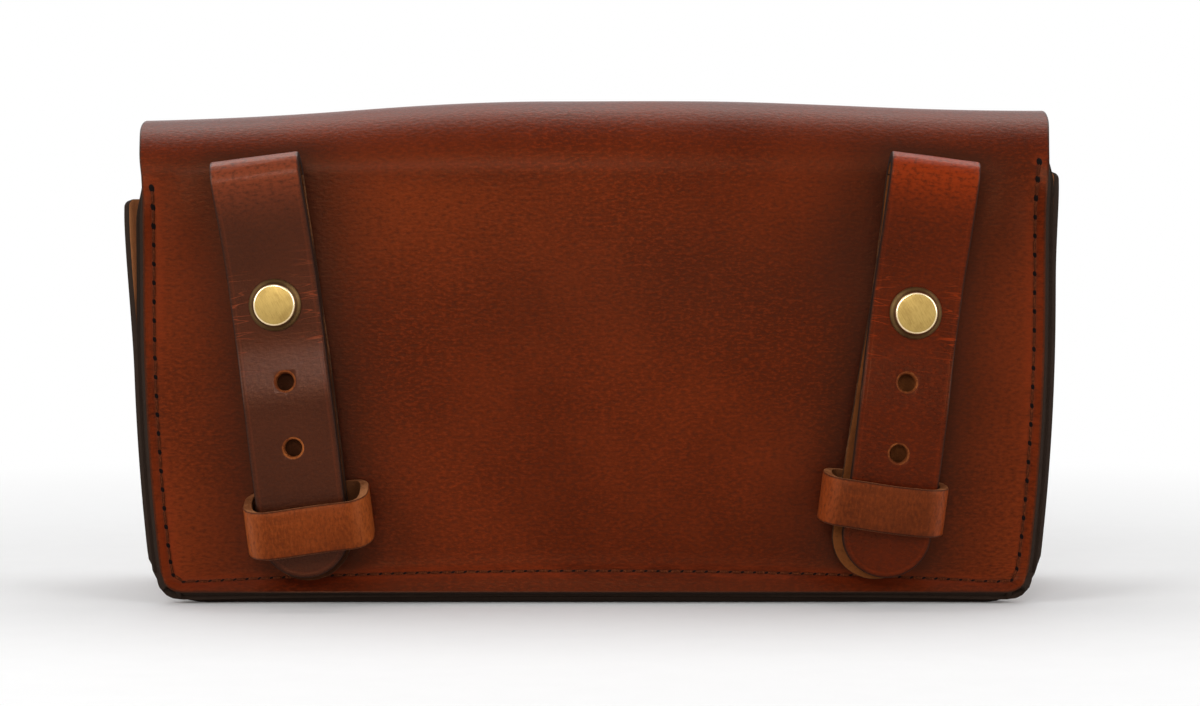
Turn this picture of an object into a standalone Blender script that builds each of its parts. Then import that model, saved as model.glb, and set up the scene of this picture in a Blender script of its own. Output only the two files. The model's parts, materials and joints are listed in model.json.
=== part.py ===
"""A small leather bag that straps to a bar: one hide wraps the back, top and flap, a gusset with
turned-out seams joins it to the front, and two doubled straps on the back hold it to the bar.

Frame: +Z up, the back of the bag with its straps faces -Y, the flap hangs down the +Y side.
"""

from dataclasses import dataclass
from math import cos, hypot, pi, radians, sin, tan

import bmesh
import bpy
from mathutils import Vector

MM = 0.001

# Fits
SEAT = 0.3 * MM  # gap left between pieces that lie against each other
HOLE_CLEARANCE = 0.25 * MM  # radial, between a post and the hole it passes through

# Body of the bag
BODY_WIDTH = 225 * MM
BODY_DEPTH = 60 * MM
PANEL_THICKNESS = 3.0 * MM
FRONT_HEIGHT = 99 * MM
SIDE_TAPER = 4.8 * MM  # how far each side draws in at the bottom
TAPER_HEIGHT = 75 * MM
CORNER_RADIUS = 11 * MM

# Gusset, a strip with its two long edges turned out into the seams
GUSSET_THICKNESS = 2.4 * MM
SEAM_MARGIN = 6 * MM
GUSSET_BEND_RADIUS = 3.0 * MM
GUSSET_TOP_LEFT = 101 * MM
GUSSET_TOP_RIGHT = 106 * MM

# Top bend and flap
SPRING_HEIGHT = 107 * MM
TOP_BEND_RADIUS = 19 * MM
HINGE_ANGLE = radians(60)  # how far round the rear bend the leather flexes
FLAP_END_HEIGHT = 38 * MM
FLAP_CORNER_RADIUS = 20 * MM

# Rear straps
STRAP_WIDTH = 22 * MM
STRAP_THICKNESS = 2.8 * MM
STRAP_FOLD_RADIUS = 3.0 * MM  # inside the loop
LEAF_GAP = 0.4 * MM
BASE_OVERHANG = 1.0 * MM  # how far the under leaf's tip shows past the upper one
STANDOFF_START = 7 * MM  # below the post, where the strap starts to lift for its keeper
STANDOFF_END = 26 * MM

# Strap posts: a capped barrel from outside and a slotted screw from inside the bag
CAP_BASE_RADIUS = 6.3 * MM
CAP_TOP_RADIUS = 4.9 * MM
CAP_HEIGHT = 2.3 * MM
CAP_EDGE = 0.5 * MM
BARREL_RADIUS = 2.3 * MM
BARREL_END_WALL = 1.0 * MM
SHANK_RADIUS = 1.25 * MM
SHANK_CLEARANCE = 0.2 * MM
SCREW_HEAD_RADIUS = 4.6 * MM
SCREW_HEAD_HEIGHT = 1.6 * MM
SLOT_WIDTH = 1.1 * MM
SLOT_DEPTH = 0.8 * MM

# Keepers
KEEPER_SIDE_PLAY = 2.4 * MM
KEEPER_THICKNESS = 2.2 * MM
KEEPER_HEIGHT = 12 * MM
KEEPER_CORNER_RADIUS = 4.2 * MM

# Press studs that close the flap
SNAP_SPREAD = 62 * MM
SNAP_HEIGHT = 54 * MM
SNAP_TUBE_RADIUS = 1.45 * MM
SNAP_FLANGE_RADIUS = 5.0 * MM
SNAP_FLANGE_THICKNESS = 0.8 * MM
SNAP_BALL_RADIUS = 2.9 * MM
SNAP_NECK_RADIUS = 2.5 * MM
SNAP_BALL_HEIGHT = 1.7 * MM
SNAP_SOCKET_RADIUS = 5.3 * MM
SNAP_SOCKET_HEIGHT = 2.5 * MM
SNAP_SOCKET_PLATE = 0.5 * MM
SNAP_SOCKET_CLEARANCE = 0.4 * MM

# Facets
ARC_STEPS = 8
BEND_STEPS = 10
LIFT_STEPS = 10
ROUND_STEPS = 32
HOLE_STEPS = 20


@dataclass(frozen=True)
class StrapSide:
    """What differs between the two hand-cut rear straps."""

    name: str
    post_x: float
    post_height: float
    tilt: float
    loop_top: float  # from the post up to the top of the loop
    tip_length: float  # from the post down to the upper leaf's tip
    base_skew: float  # how far the under leaf's tip lies off to one side
    hole_pitches: tuple
    keeper_drop: float  # from the post down to the keeper
    keeper_play: float  # room left inside the keeper, front to back
    keeper_sag: float  # how far its front hangs below its back, for each length between them
    keeper_shift: float  # how far off the strap's middle it has been pushed

    @property
    def fold_height(self):
        """Height above the post where the loop's bend starts."""
        return self.loop_top - STRAP_FOLD_RADIUS - STRAP_THICKNESS

    @property
    def apex(self):
        """Length along the strap from the post to the top of the loop."""
        return self.fold_height + pi * STRAP_FOLD_MID / 2

    @property
    def leaf_post(self):
        """Length along the strap to where the post comes through the upper leaf."""
        return 2 * self.apex


STRAPS = (
    StrapSide(name="left", post_x=-79 * MM, post_height=75 * MM, tilt=radians(-7.4),
              loop_top=37 * MM, tip_length=68 * MM, base_skew=0.5 * MM,
              hole_pitches=(19.2 * MM, 16.4 * MM),
              keeper_drop=51.8 * MM, keeper_play=4.5 * MM, keeper_sag=0.28, keeper_shift=1.4 * MM),
    StrapSide(name="right", post_x=79.5 * MM, post_height=73 * MM, tilt=radians(7.4),
              loop_top=39 * MM, tip_length=66 * MM, base_skew=-2.4 * MM,
              hole_pitches=(17.5 * MM, 17.5 * MM),
              keeper_drop=47 * MM, keeper_play=2.5 * MM, keeper_sag=0.12, keeper_shift=-1.8 * MM),
)

# Values that follow from the sizes above
BACK_FACE = -BODY_DEPTH / 2
FRONT_FACE = BODY_DEPTH / 2
FLANGE_WIDTH = SEAM_MARGIN + GUSSET_THICKNESS
BARREL_HOLE_RADIUS = BARREL_RADIUS + HOLE_CLEARANCE
SNAP_HOLE_RADIUS = SNAP_TUBE_RADIUS + HOLE_CLEARANCE
FLAP_STANDOFF = SNAP_FLANGE_THICKNESS + SNAP_SOCKET_HEIGHT + 3 * SEAT
FLAP_FACE = FRONT_FACE + FLAP_STANDOFF + PANEL_THICKNESS
TOP_FLAT = FLAP_FACE - BACK_FACE - 2 * TOP_BEND_RADIUS
BEND_LENGTH = TOP_BEND_RADIUS * pi / 2
HINGE_S = SPRING_HEIGHT + TOP_BEND_RADIUS * HINGE_ANGLE
FLAP_END_S = SPRING_HEIGHT + 2 * BEND_LENGTH + TOP_FLAT + SPRING_HEIGHT - FLAP_END_HEIGHT

STRAP_FOLD_MID = STRAP_FOLD_RADIUS + STRAP_THICKNESS / 2
BASE_AT_POST = SEAT + STRAP_THICKNESS / 2
BASE_AT_KEEPER = 2 * SEAT + KEEPER_THICKNESS + STRAP_THICKNESS / 2
LEAF_AT_POST = BASE_AT_POST + STRAP_THICKNESS + LEAF_GAP
LEAF_AT_FOLD = BASE_AT_POST + 2 * STRAP_FOLD_MID
CAP_SEAT = LEAF_AT_POST + STRAP_THICKNESS / 2 + SEAT
BARREL_LENGTH = CAP_SEAT + PANEL_THICKNESS - SEAT
KEEPER_BACK = SEAT
KEEPER_INSIDE = 2 * STRAP_THICKNESS + LEAF_GAP
KEEPER_REACH = max(KEEPER_BACK + KEEPER_INSIDE + side.keeper_play + 2 * KEEPER_THICKNESS for side in STRAPS)
REAR_REACH = max(KEEPER_REACH, LEAF_AT_FOLD + STRAP_THICKNESS / 2, CAP_SEAT + CAP_HEIGHT)
FRONT_REACH = FLAP_FACE + SEAT + CAP_HEIGHT
CENTRE_SHIFT = -(BACK_FACE - REAR_REACH + FRONT_REACH) / 2  # puts the origin under the middle

# Colours
OXBLOOD_HIDE = (0.155, 0.040, 0.013)
STRAP_HIDE = (0.105, 0.028, 0.012)
KEEPER_HIDE = (0.230, 0.066, 0.018)
GUSSET_HIDE = (0.120, 0.034, 0.014)
ANTIQUE_BRASS = (0.52, 0.36, 0.13)
PLAIN_BRASS = (0.60, 0.44, 0.18)


def make_material(name, colour, roughness, metallic=0.0):
    """A Principled material of one colour."""
    material = bpy.data.materials.new(name)
    material.use_nodes = True
    shader = material.node_tree.nodes["Principled BSDF"]
    shader.inputs["Base Color"].default_value = (*colour, 1.0)
    shader.inputs["Roughness"].default_value = roughness
    shader.inputs["Metallic"].default_value = metallic
    return material


def finish(bm, name, material, parent=None, location=(0, 0, 0), rotation=(0, 0, 0)):
    """Turns a bmesh into a named object that sits under its parent."""
    bmesh.ops.recalc_face_normals(bm, faces=bm.faces[:])
    if bm.calc_volume(signed=True) < 0:
        bmesh.ops.reverse_faces(bm, faces=bm.faces[:])
    mesh = bpy.data.meshes.new(name)
    bm.to_mesh(mesh)
    bm.free()
    mesh.materials.append(material)
    mesh.shade_smooth()
    mesh.set_sharp_from_angle(angle=radians(30))
    made = bpy.data.objects.new(name, mesh)
    bpy.context.scene.collection.objects.link(made)
    made.parent = parent
    made.location = location
    made.rotation_euler = rotation
    return made


# Outlines in a plane

def circle(centre, radius, steps=HOLE_STEPS):
    """Points round a punched hole."""
    return [Vector((centre[0] + radius * cos(2 * pi * i / steps),
                    centre[1] + radius * sin(2 * pi * i / steps))) for i in range(steps)]


def fillet(before, corner, after, radius, steps=ARC_STEPS):
    """Points of the arc that rounds a corner between two straight runs."""
    first = (before - corner).normalized()
    second = (after - corner).normalized()
    half = first.angle(second) / 2
    centre = corner + (first + second).normalized() * (radius / sin(half))
    start = corner + first * (radius / tan(half)) - centre
    end = corner + second * (radius / tan(half)) - centre
    turn = start.angle_signed(end)
    points = []
    for step in range(steps + 1):
        angle = -turn * step / steps
        points.append(centre + Vector((start.x * cos(angle) - start.y * sin(angle),
                                       start.x * sin(angle) + start.y * cos(angle))))
    return points


def rounded(corners, radii, steps=ARC_STEPS):
    """A closed outline whose corners are rounded by the given radii; a radius of 0 stays sharp."""
    points = []
    for index, (corner, radius) in enumerate(zip(corners, radii)):
        before = corners[index - 1]
        after = corners[(index + 1) % len(corners)]
        points += fillet(before, corner, after, radius, steps) if radius else [corner]
    return points


def half_width(height):
    """Half the bag's width over its seam edges: straight above, drawn in towards the bottom."""
    below = max(0.0, (TAPER_HEIGHT - height) / TAPER_HEIGHT)
    return BODY_WIDTH / 2 - SIDE_TAPER * below ** 2


def seam_half(top):
    """The right half of the seam edge, from its top down the side and round to the bottom centre."""
    lowest = 2 * CORNER_RADIUS
    heights = [top + (lowest - top) * i / ARC_STEPS for i in range(ARC_STEPS + 1)]
    side = [Vector((half_width(height), height)) for height in heights]
    corner = Vector((half_width(0), 0))
    centre = Vector((0, 0))
    return side + fillet(side[-1], corner, centre, CORNER_RADIUS) + [centre]


def seam_path(top_left, top_right):
    """The whole seam edge, from the left top down, along the bottom and up to the right top."""
    left = [Vector((-point.x, point.y)) for point in seam_half(top_left)]
    return left[:-1] + seam_half(top_right)[::-1]


def outward(path):
    """The outward normal at each point of the seam edge."""
    normals = []
    for index in range(len(path)):
        along = path[min(index + 1, len(path) - 1)] - path[max(index - 1, 0)]
        normals.append(Vector((along.y, -along.x)).normalized())
    return normals


# Leather cut flat and bent

def cut_hide(outline, holes, creases, thickness):
    """A flat piece cut to an outline with punched holes, divided along lines where it will bend."""
    bm = bmesh.new()
    for loop in (outline, *holes):
        points = [bm.verts.new((point.x, point.y, 0)) for point in loop]
        for index, point in enumerate(points):
            bm.edges.new((points[index - 1], point))
    bmesh.ops.triangle_fill(bm, edges=bm.edges[:], use_beauty=True)
    for crease in creases:
        everything = bm.verts[:] + bm.edges[:] + bm.faces[:]
        bmesh.ops.bisect_plane(bm, geom=everything, dist=1e-7, plane_co=(0, crease, 0), plane_no=(0, 1, 0))
    bmesh.ops.triangulate(bm, faces=bm.faces[:])
    grown = bmesh.ops.extrude_face_region(bm, geom=bm.faces[:])["geom"]
    lifted = [item for item in grown if isinstance(item, bmesh.types.BMVert)]
    bmesh.ops.translate(bm, verts=lifted, vec=(0, 0, thickness))
    return bm


def bend(bm, place):
    """Moves every point of a flat piece to where place(across, along, depth) puts it."""
    for vert in bm.verts:
        vert.co = place(*vert.co)


def wrap_point(along):
    """(y, z) of the wrapped hide's grain face and its outward normal, a length along from the bottom."""
    turns = (along - SPRING_HEIGHT) / TOP_BEND_RADIUS
    front = along - SPRING_HEIGHT - BEND_LENGTH - TOP_FLAT
    if along <= SPRING_HEIGHT:
        return Vector((BACK_FACE, along)), Vector((-1, 0))
    if along <= SPRING_HEIGHT + BEND_LENGTH:
        normal = Vector((-cos(turns), sin(turns)))
        return Vector((BACK_FACE + TOP_BEND_RADIUS, SPRING_HEIGHT)) + normal * TOP_BEND_RADIUS, normal
    if front <= 0:
        return Vector((FLAP_FACE - TOP_BEND_RADIUS + front, SPRING_HEIGHT + TOP_BEND_RADIUS)), Vector((0, 1))
    if front <= BEND_LENGTH:
        angle = front / TOP_BEND_RADIUS
        normal = Vector((sin(angle), cos(angle)))
        return Vector((FLAP_FACE - TOP_BEND_RADIUS, SPRING_HEIGHT)) + normal * TOP_BEND_RADIUS, normal
    return Vector((FLAP_FACE, SPRING_HEIGHT - front + BEND_LENGTH)), Vector((1, 0))


def wrap(across, along, depth):
    """A point of the wrapped hide, depth below its grain face."""
    point, normal = wrap_point(along)
    point = point - normal * depth
    return Vector((across, point.x, point.y))


def bend_creases(start, end):
    """Lines across the hide through a bend, both ends included."""
    return [start + (end - start) * i / BEND_STEPS for i in range(BEND_STEPS + 1)]


def body_holes():
    """Where the strap posts pass through the back."""
    return [circle((side.post_x, side.post_height), BARREL_HOLE_RADIUS) for side in STRAPS]


def make_back_panel(material, root):
    """The back of the wrapped hide, up to where it flexes."""
    top = HINGE_S - SEAT / 2
    lower = seam_path(SPRING_HEIGHT, SPRING_HEIGHT)
    half_top = half_width(SPRING_HEIGHT)
    outline = lower + [Vector((half_top, top)), Vector((-half_top, top))]
    bm = cut_hide(outline, body_holes(), bend_creases(SPRING_HEIGHT, top)[:-1], PANEL_THICKNESS)
    bend(bm, wrap)
    return finish(bm, "back_panel", material, root)


def snap_places():
    """The signed x of each press stud with its side's name."""
    return (("left", -SNAP_SPREAD), ("right", SNAP_SPREAD))


def make_flap(material, root):
    """The rest of the wrapped hide: over the top and down the front, turning on the flex line."""
    start = HINGE_S + SEAT / 2
    half = half_width(SPRING_HEIGHT)
    corners = [Vector((-half, start)), Vector((half, start)),
               Vector((half, FLAP_END_S)), Vector((-half, FLAP_END_S))]
    outline = rounded(corners, (0, 0, FLAP_CORNER_RADIUS, FLAP_CORNER_RADIUS))
    snap_s = FLAP_END_S + FLAP_END_HEIGHT - SNAP_HEIGHT
    holes = [circle((x, snap_s), SNAP_HOLE_RADIUS) for _, x in snap_places()]
    rear_end = SPRING_HEIGHT + BEND_LENGTH
    front_start = rear_end + TOP_FLAT
    creases = bend_creases(start, rear_end)[1:] + bend_creases(front_start, front_start + BEND_LENGTH)
    bm = cut_hide(outline, holes, creases, PANEL_THICKNESS)
    bend(bm, wrap)
    pivot = wrap(0, HINGE_S, 0)
    bmesh.ops.translate(bm, verts=bm.verts[:], vec=-pivot)
    return finish(bm, "flap", material, root, pivot)


def make_front_panel(material, root):
    """The flat front, as wide as the back at its seams."""
    outline = seam_path(FRONT_HEIGHT, FRONT_HEIGHT)
    holes = [circle((x, SNAP_HEIGHT), SNAP_HOLE_RADIUS) for _, x in snap_places()]
    bm = cut_hide(outline, holes, (), PANEL_THICKNESS)
    bend(bm, lambda across, along, depth: Vector((across, FRONT_FACE - depth, along)))
    return finish(bm, "front_panel", material, root)


def make_gusset(material, root):
    """The strip round both sides and the bottom, swept along the seam with its edges turned out."""
    rear = BACK_FACE + PANEL_THICKNESS + SEAT
    front = FRONT_FACE - PANEL_THICKNESS - SEAT
    thin = GUSSET_THICKNESS
    corners = [Vector((rear, 0)), Vector((rear, FLANGE_WIDTH)), Vector((front, FLANGE_WIDTH)),
               Vector((front, 0)), Vector((front - thin, 0)), Vector((front - thin, FLANGE_WIDTH - thin)),
               Vector((rear + thin, FLANGE_WIDTH - thin)), Vector((rear + thin, 0))]
    inner = GUSSET_BEND_RADIUS - thin
    section = rounded(corners, (0, GUSSET_BEND_RADIUS, GUSSET_BEND_RADIUS, 0, 0, inner, inner, 0), steps=3)
    path = seam_path(GUSSET_TOP_LEFT, GUSSET_TOP_RIGHT)
    bm = bmesh.new()
    rings = []
    for edge, normal in zip(path, outward(path)):
        inset = [edge - normal * point.y for point in section]
        rings.append([bm.verts.new((at.x, point.x, at.y)) for at, point in zip(inset, section)])
    for near, far in zip(rings, rings[1:]):
        for index in range(len(section)):
            bm.faces.new((near[index - 1], near[index], far[index], far[index - 1]))
    bm.faces.new(rings[0])
    bm.faces.new(rings[-1])
    return finish(bm, "gusset", material, root)


# Rear straps, in a frame at the post on the back face: x across, -y off the bag, z up the strap

def ease(share):
    """A smooth rise from 0 to 1 that starts and ends level."""
    share = min(1.0, max(0.0, share))
    return share * share * (3 - 2 * share)


def base_off(height):
    """How far the under leaf's middle stands off the bag at a height above the post."""
    lift = ease((-height - STANDOFF_START) / (STANDOFF_END - STANDOFF_START))
    return BASE_AT_POST + (BASE_AT_KEEPER - BASE_AT_POST) * lift


def leaf_off(side, height):
    """How far the upper leaf's middle stands off the bag at a height above the post."""
    flare = ease((height - CAP_BASE_RADIUS) / (side.fold_height - CAP_BASE_RADIUS))
    return base_off(height) + STRAP_THICKNESS + LEAF_GAP + (LEAF_AT_FOLD - LEAF_AT_POST) * flare


def strap_line(side, along):
    """The strap's middle line as (off the bag, height), a length along it from the post over the fold.

    It runs up the under leaf, round the loop and down the upper leaf.
    """
    arc = along - side.fold_height
    length = pi * STRAP_FOLD_MID
    if arc <= 0:
        return Vector((base_off(along), along))
    if arc <= length:
        angle = arc / STRAP_FOLD_MID
        middle = Vector((BASE_AT_POST + STRAP_FOLD_MID, side.fold_height))
        return middle + STRAP_FOLD_MID * Vector((-cos(angle), sin(angle)))
    height = side.fold_height - (arc - length)
    return Vector((leaf_off(side, height), height))


def strap_place(side):
    """The bending of one strap: under leaf skewed a little across, grain face outside the loop."""
    reach = 0.01 * MM

    def place(across, along, depth):
        point = strap_line(side, along)
        run = strap_line(side, along + reach) - strap_line(side, along - reach)
        grain = Vector((-run.y, run.x)).normalized()
        point = point + grain * (depth - STRAP_THICKNESS / 2)
        skew = side.base_skew * max(0.0, -along / side.tip_length)
        return Vector((across + skew, -point.x, point.y))

    return place


def strap_creases(side):
    """Lines across the strap where it lifts for the keeper, flares into the loop and folds."""
    lift = [STANDOFF_START + (STANDOFF_END - STANDOFF_START) * i / LIFT_STEPS for i in range(LIFT_STEPS + 1)]
    rise = side.fold_height - CAP_BASE_RADIUS
    flare = [CAP_BASE_RADIUS + rise * i / LIFT_STEPS for i in range(LIFT_STEPS + 1)]
    arc = [side.fold_height + pi * STRAP_FOLD_MID * i / (2 * BEND_STEPS) for i in range(1, 2 * BEND_STEPS)]
    under = [-drop for drop in lift] + [side.fold_height]
    upper = [side.leaf_post + drop for drop in lift] + [side.leaf_post - height for height in flare]
    return under + arc + upper


def tongue(start, end):
    """A strap's flat outline with a round tip at start and a square cut at end."""
    half = STRAP_WIDTH / 2
    direction = 1 if end > start else -1
    centre = start + direction * half
    tip = []
    for step in range(2 * ARC_STEPS + 1):
        angle = pi * step / (2 * ARC_STEPS)
        tip.append(Vector((half * cos(angle), centre - direction * half * sin(angle))))
    return tip + [Vector((-half, end)), Vector((half, end))]


def make_strap(side, material, root):
    """One rear strap: the under leaf that the post holds to the bag, and the upper leaf."""
    place = strap_place(side)
    tip = side.tip_length + BASE_OVERHANG
    creases = strap_creases(side)
    bm = cut_hide(tongue(-tip, side.apex - SEAT / 2), [circle((0, 0), BARREL_HOLE_RADIUS)],
                  [s for s in creases if s < side.apex - SEAT], STRAP_THICKNESS)
    bend(bm, place)
    base = finish(bm, f"strap_{side.name}_base", material, root,
                  (side.post_x, BACK_FACE, side.post_height), (0, side.tilt, 0))

    holes, drop = [circle((0, side.leaf_post), BARREL_HOLE_RADIUS)], 0
    for pitch in side.hole_pitches:
        drop += pitch
        holes.append(circle((0, side.leaf_post + drop), BARREL_HOLE_RADIUS))
    bm = cut_hide(tongue(side.leaf_post + side.tip_length, side.apex + SEAT / 2), holes,
                  [s for s in creases if s > side.apex + SEAT], STRAP_THICKNESS)
    bend(bm, place)
    pivot = Vector((0, -(BASE_AT_POST + STRAP_FOLD_MID), side.loop_top))
    bmesh.ops.translate(bm, verts=bm.verts[:], vec=-pivot)
    leaf = finish(bm, f"strap_{side.name}_leaf", material, base, pivot)
    return base, leaf


def make_keeper(side, material, base):
    """The loop round both leaves, whose front sags below its back."""
    width = STRAP_WIDTH + 2 * KEEPER_SIDE_PLAY + 2 * KEEPER_THICKNESS
    depth = KEEPER_INSIDE + side.keeper_play + 2 * KEEPER_THICKNESS

    def ring(inset):
        x, near, far = width / 2 - inset, KEEPER_BACK + inset, KEEPER_BACK + depth - inset
        corners = [Vector((-x, near)), Vector((x, near)), Vector((x, far)), Vector((-x, far))]
        return rounded(corners, [KEEPER_CORNER_RADIUS - inset] * 4, steps=5)

    middle = KEEPER_BACK + depth / 2
    bm = cut_hide(ring(0), [ring(KEEPER_THICKNESS)], (), KEEPER_HEIGHT)
    bend(bm, lambda across, off, rise: Vector((
        across, middle - off, rise - KEEPER_HEIGHT / 2 - side.keeper_sag * (off - KEEPER_BACK))))
    return finish(bm, f"keeper_{side.name}", material, base,
                  (side.keeper_shift, -middle, -side.keeper_drop))


# Turned metal pieces, along +Z of their own frame

OFF_THE_BACK = (pi / 2, 0, 0)  # turns a piece's +Z to face away from the back of the bag
OFF_THE_FRONT = (-pi / 2, 0, 0)


def turned(profile):
    """A solid of revolution from a closed outline of (radius, height) points, outer side downwards."""
    bm = bmesh.new()
    points = [bm.verts.new((radius, 0, height)) for radius, height in profile]
    edges = [bm.edges.new((points[i - 1], points[i])) for i in range(len(points))]
    bmesh.ops.spin(bm, geom=points + edges, cent=(0, 0, 0), axis=(0, 0, 1), angle=2 * pi,
                   steps=ROUND_STEPS, use_merge=True)
    bmesh.ops.remove_doubles(bm, verts=bm.verts[:], dist=0.001 * MM)
    bmesh.ops.dissolve_degenerate(bm, edges=bm.edges[:], dist=0.001 * MM)
    return bm


def cap_head():
    """The visible head of a post or press stud: a bevelled disc with a softened edge."""
    return [(0, CAP_HEIGHT), (CAP_TOP_RADIUS - CAP_EDGE / 2, CAP_HEIGHT),
            (CAP_TOP_RADIUS, CAP_HEIGHT - CAP_EDGE / 3), (CAP_BASE_RADIUS, CAP_EDGE), (CAP_BASE_RADIUS, 0)]


def make_post(side, brass, steel_like, leaf, root):
    """A strap post: the capped barrel that draws out of the leaf, and the screw inside the bag."""
    bore = SHANK_RADIUS + SHANK_CLEARANCE
    barrel = [(BARREL_RADIUS, 0), (BARREL_RADIUS, -BARREL_LENGTH), (bore, -BARREL_LENGTH),
              (bore, -BARREL_END_WALL), (0, -BARREL_END_WALL)]
    post = Vector((0, -CAP_SEAT, 0)) - leaf.location
    finish(turned(cap_head() + barrel), f"post_{side.name}_cap", brass, leaf, post, OFF_THE_BACK)

    underside = -PANEL_THICKNESS - SEAT
    shank = CAP_SEAT - BARREL_END_WALL - 2 * SEAT - underside
    profile = [(0, shank), (SHANK_RADIUS, shank), (SHANK_RADIUS, 0), (SCREW_HEAD_RADIUS, 0),
               (SCREW_HEAD_RADIUS, -SCREW_HEAD_HEIGHT + CAP_EDGE),
               (SCREW_HEAD_RADIUS - CAP_EDGE, -SCREW_HEAD_HEIGHT), (0, -SCREW_HEAD_HEIGHT)]
    place = Vector((side.post_x, BACK_FACE - underside, side.post_height))
    screw = finish(turned(profile), f"post_{side.name}_screw", steel_like, root, place, OFF_THE_BACK)
    cut_slot(screw, side.name)


def cut_slot(screw, name):
    """Cuts the driver slot across a screw's head."""
    bm = bmesh.new()
    bmesh.ops.create_cube(bm, size=1)
    size = (4 * SCREW_HEAD_RADIUS, SLOT_WIDTH, 2 * SLOT_DEPTH)
    bmesh.ops.scale(bm, vec=size, verts=bm.verts[:])
    cutter = finish(bm, f"slot_cutter_{name}", screw.data.materials[0], screw, (0, 0, -SCREW_HEAD_HEIGHT))
    cutter.hide_render = True
    cutter.display_type = "WIRE"
    cut = screw.modifiers.new("driver slot", "BOOLEAN")
    cut.operation = "DIFFERENCE"
    cut.object = cutter


def make_snap(name, x, brass, plain, flap, root):
    """One press stud in its four pieces: cap and socket on the flap, stud and eyelet on the front."""
    tube = SNAP_TUBE_RADIUS
    bore = tube + HOLE_CLEARANCE
    on_flap = Vector((x, FLAP_FACE + SEAT, SNAP_HEIGHT)) - flap.location
    tube_end = -(PANEL_THICKNESS + 2 * SEAT + SNAP_SOCKET_PLATE)
    cap = cap_head() + [(tube, 0), (tube, tube_end), (0, tube_end)]
    finish(turned(cap), f"snap_{name}_cap", brass, flap, on_flap, OFF_THE_FRONT)

    cavity = SNAP_BALL_RADIUS + SNAP_SOCKET_CLEARANCE
    low = -SNAP_SOCKET_HEIGHT
    socket = [(bore, 0), (SNAP_SOCKET_RADIUS - CAP_EDGE, 0), (SNAP_SOCKET_RADIUS, -CAP_EDGE),
              (SNAP_SOCKET_RADIUS, low), (cavity, low),
              (cavity, -SNAP_SOCKET_PLATE), (bore, -SNAP_SOCKET_PLATE)]
    under_flap = on_flap - Vector((0, PANEL_THICKNESS + 2 * SEAT, 0))
    finish(turned(socket), f"snap_{name}_socket", plain, flap, under_flap, OFF_THE_FRONT)

    top = SNAP_FLANGE_THICKNESS + SNAP_BALL_HEIGHT
    stud = [(bore, top), (SNAP_BALL_RADIUS - CAP_EDGE, top), (SNAP_BALL_RADIUS, top - CAP_EDGE),
            (SNAP_NECK_RADIUS, SNAP_FLANGE_THICKNESS), (SNAP_FLANGE_RADIUS, SNAP_FLANGE_THICKNESS),
            (SNAP_FLANGE_RADIUS, 0), (bore, 0)]
    on_front = Vector((x, FRONT_FACE + SEAT, SNAP_HEIGHT))
    finish(turned(stud), f"snap_{name}_stud", plain, root, on_front, OFF_THE_FRONT)

    rise = PANEL_THICKNESS + 2 * SEAT + top
    eyelet = [(0, rise), (tube, rise), (tube, 0), (SNAP_FLANGE_RADIUS, 0),
              (SNAP_FLANGE_RADIUS, -SNAP_FLANGE_THICKNESS), (0, -SNAP_FLANGE_THICKNESS)]
    inside = Vector((x, FRONT_FACE - PANEL_THICKNESS - SEAT, SNAP_HEIGHT))
    finish(turned(eyelet), f"snap_{name}_eyelet", plain, root, inside, OFF_THE_FRONT)


def clear_scene():
    """Removes whatever the file opened with."""
    for found in list(bpy.data.objects):
        bpy.data.objects.remove(found)


def main():
    """Builds the bag from its hides outwards."""
    clear_scene()
    hide = make_material("oxblood hide", OXBLOOD_HIDE, 0.35)
    gusset_hide = make_material("gusset hide", GUSSET_HIDE, 0.5)
    strap_hide = make_material("strap hide", STRAP_HIDE, 0.35)
    keeper_hide = make_material("keeper hide", KEEPER_HIDE, 0.6)
    brass = make_material("antique brass", ANTIQUE_BRASS, 0.35, 1.0)
    plain = make_material("plain brass", PLAIN_BRASS, 0.3, 1.0)

    root = bpy.data.objects.new("bag", None)
    bpy.context.scene.collection.objects.link(root)
    root.location = (0, CENTRE_SHIFT, 0)

    make_back_panel(hide, root)
    make_front_panel(hide, root)
    make_gusset(gusset_hide, root)
    flap = make_flap(hide, root)
    for side in STRAPS:
        base, leaf = make_strap(side, strap_hide, root)
        make_keeper(side, keeper_hide, base)
        make_post(side, brass, plain, leaf, root)
    for name, x in snap_places():
        make_snap(name, x, brass, plain, flap, root)


main()
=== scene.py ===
"""The leather strap-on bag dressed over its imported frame: hides, straps, keepers, thread and brass."""

from __future__ import annotations

import json
import logging
from bisect import bisect_left
from collections.abc import Callable, Sequence
from dataclasses import dataclass, field
from enum import Enum, IntEnum
from math import atan2, cos, exp, hypot, pi, radians, sin

import bmesh
import bpy
from mathutils import Matrix, Vector, noise

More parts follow.
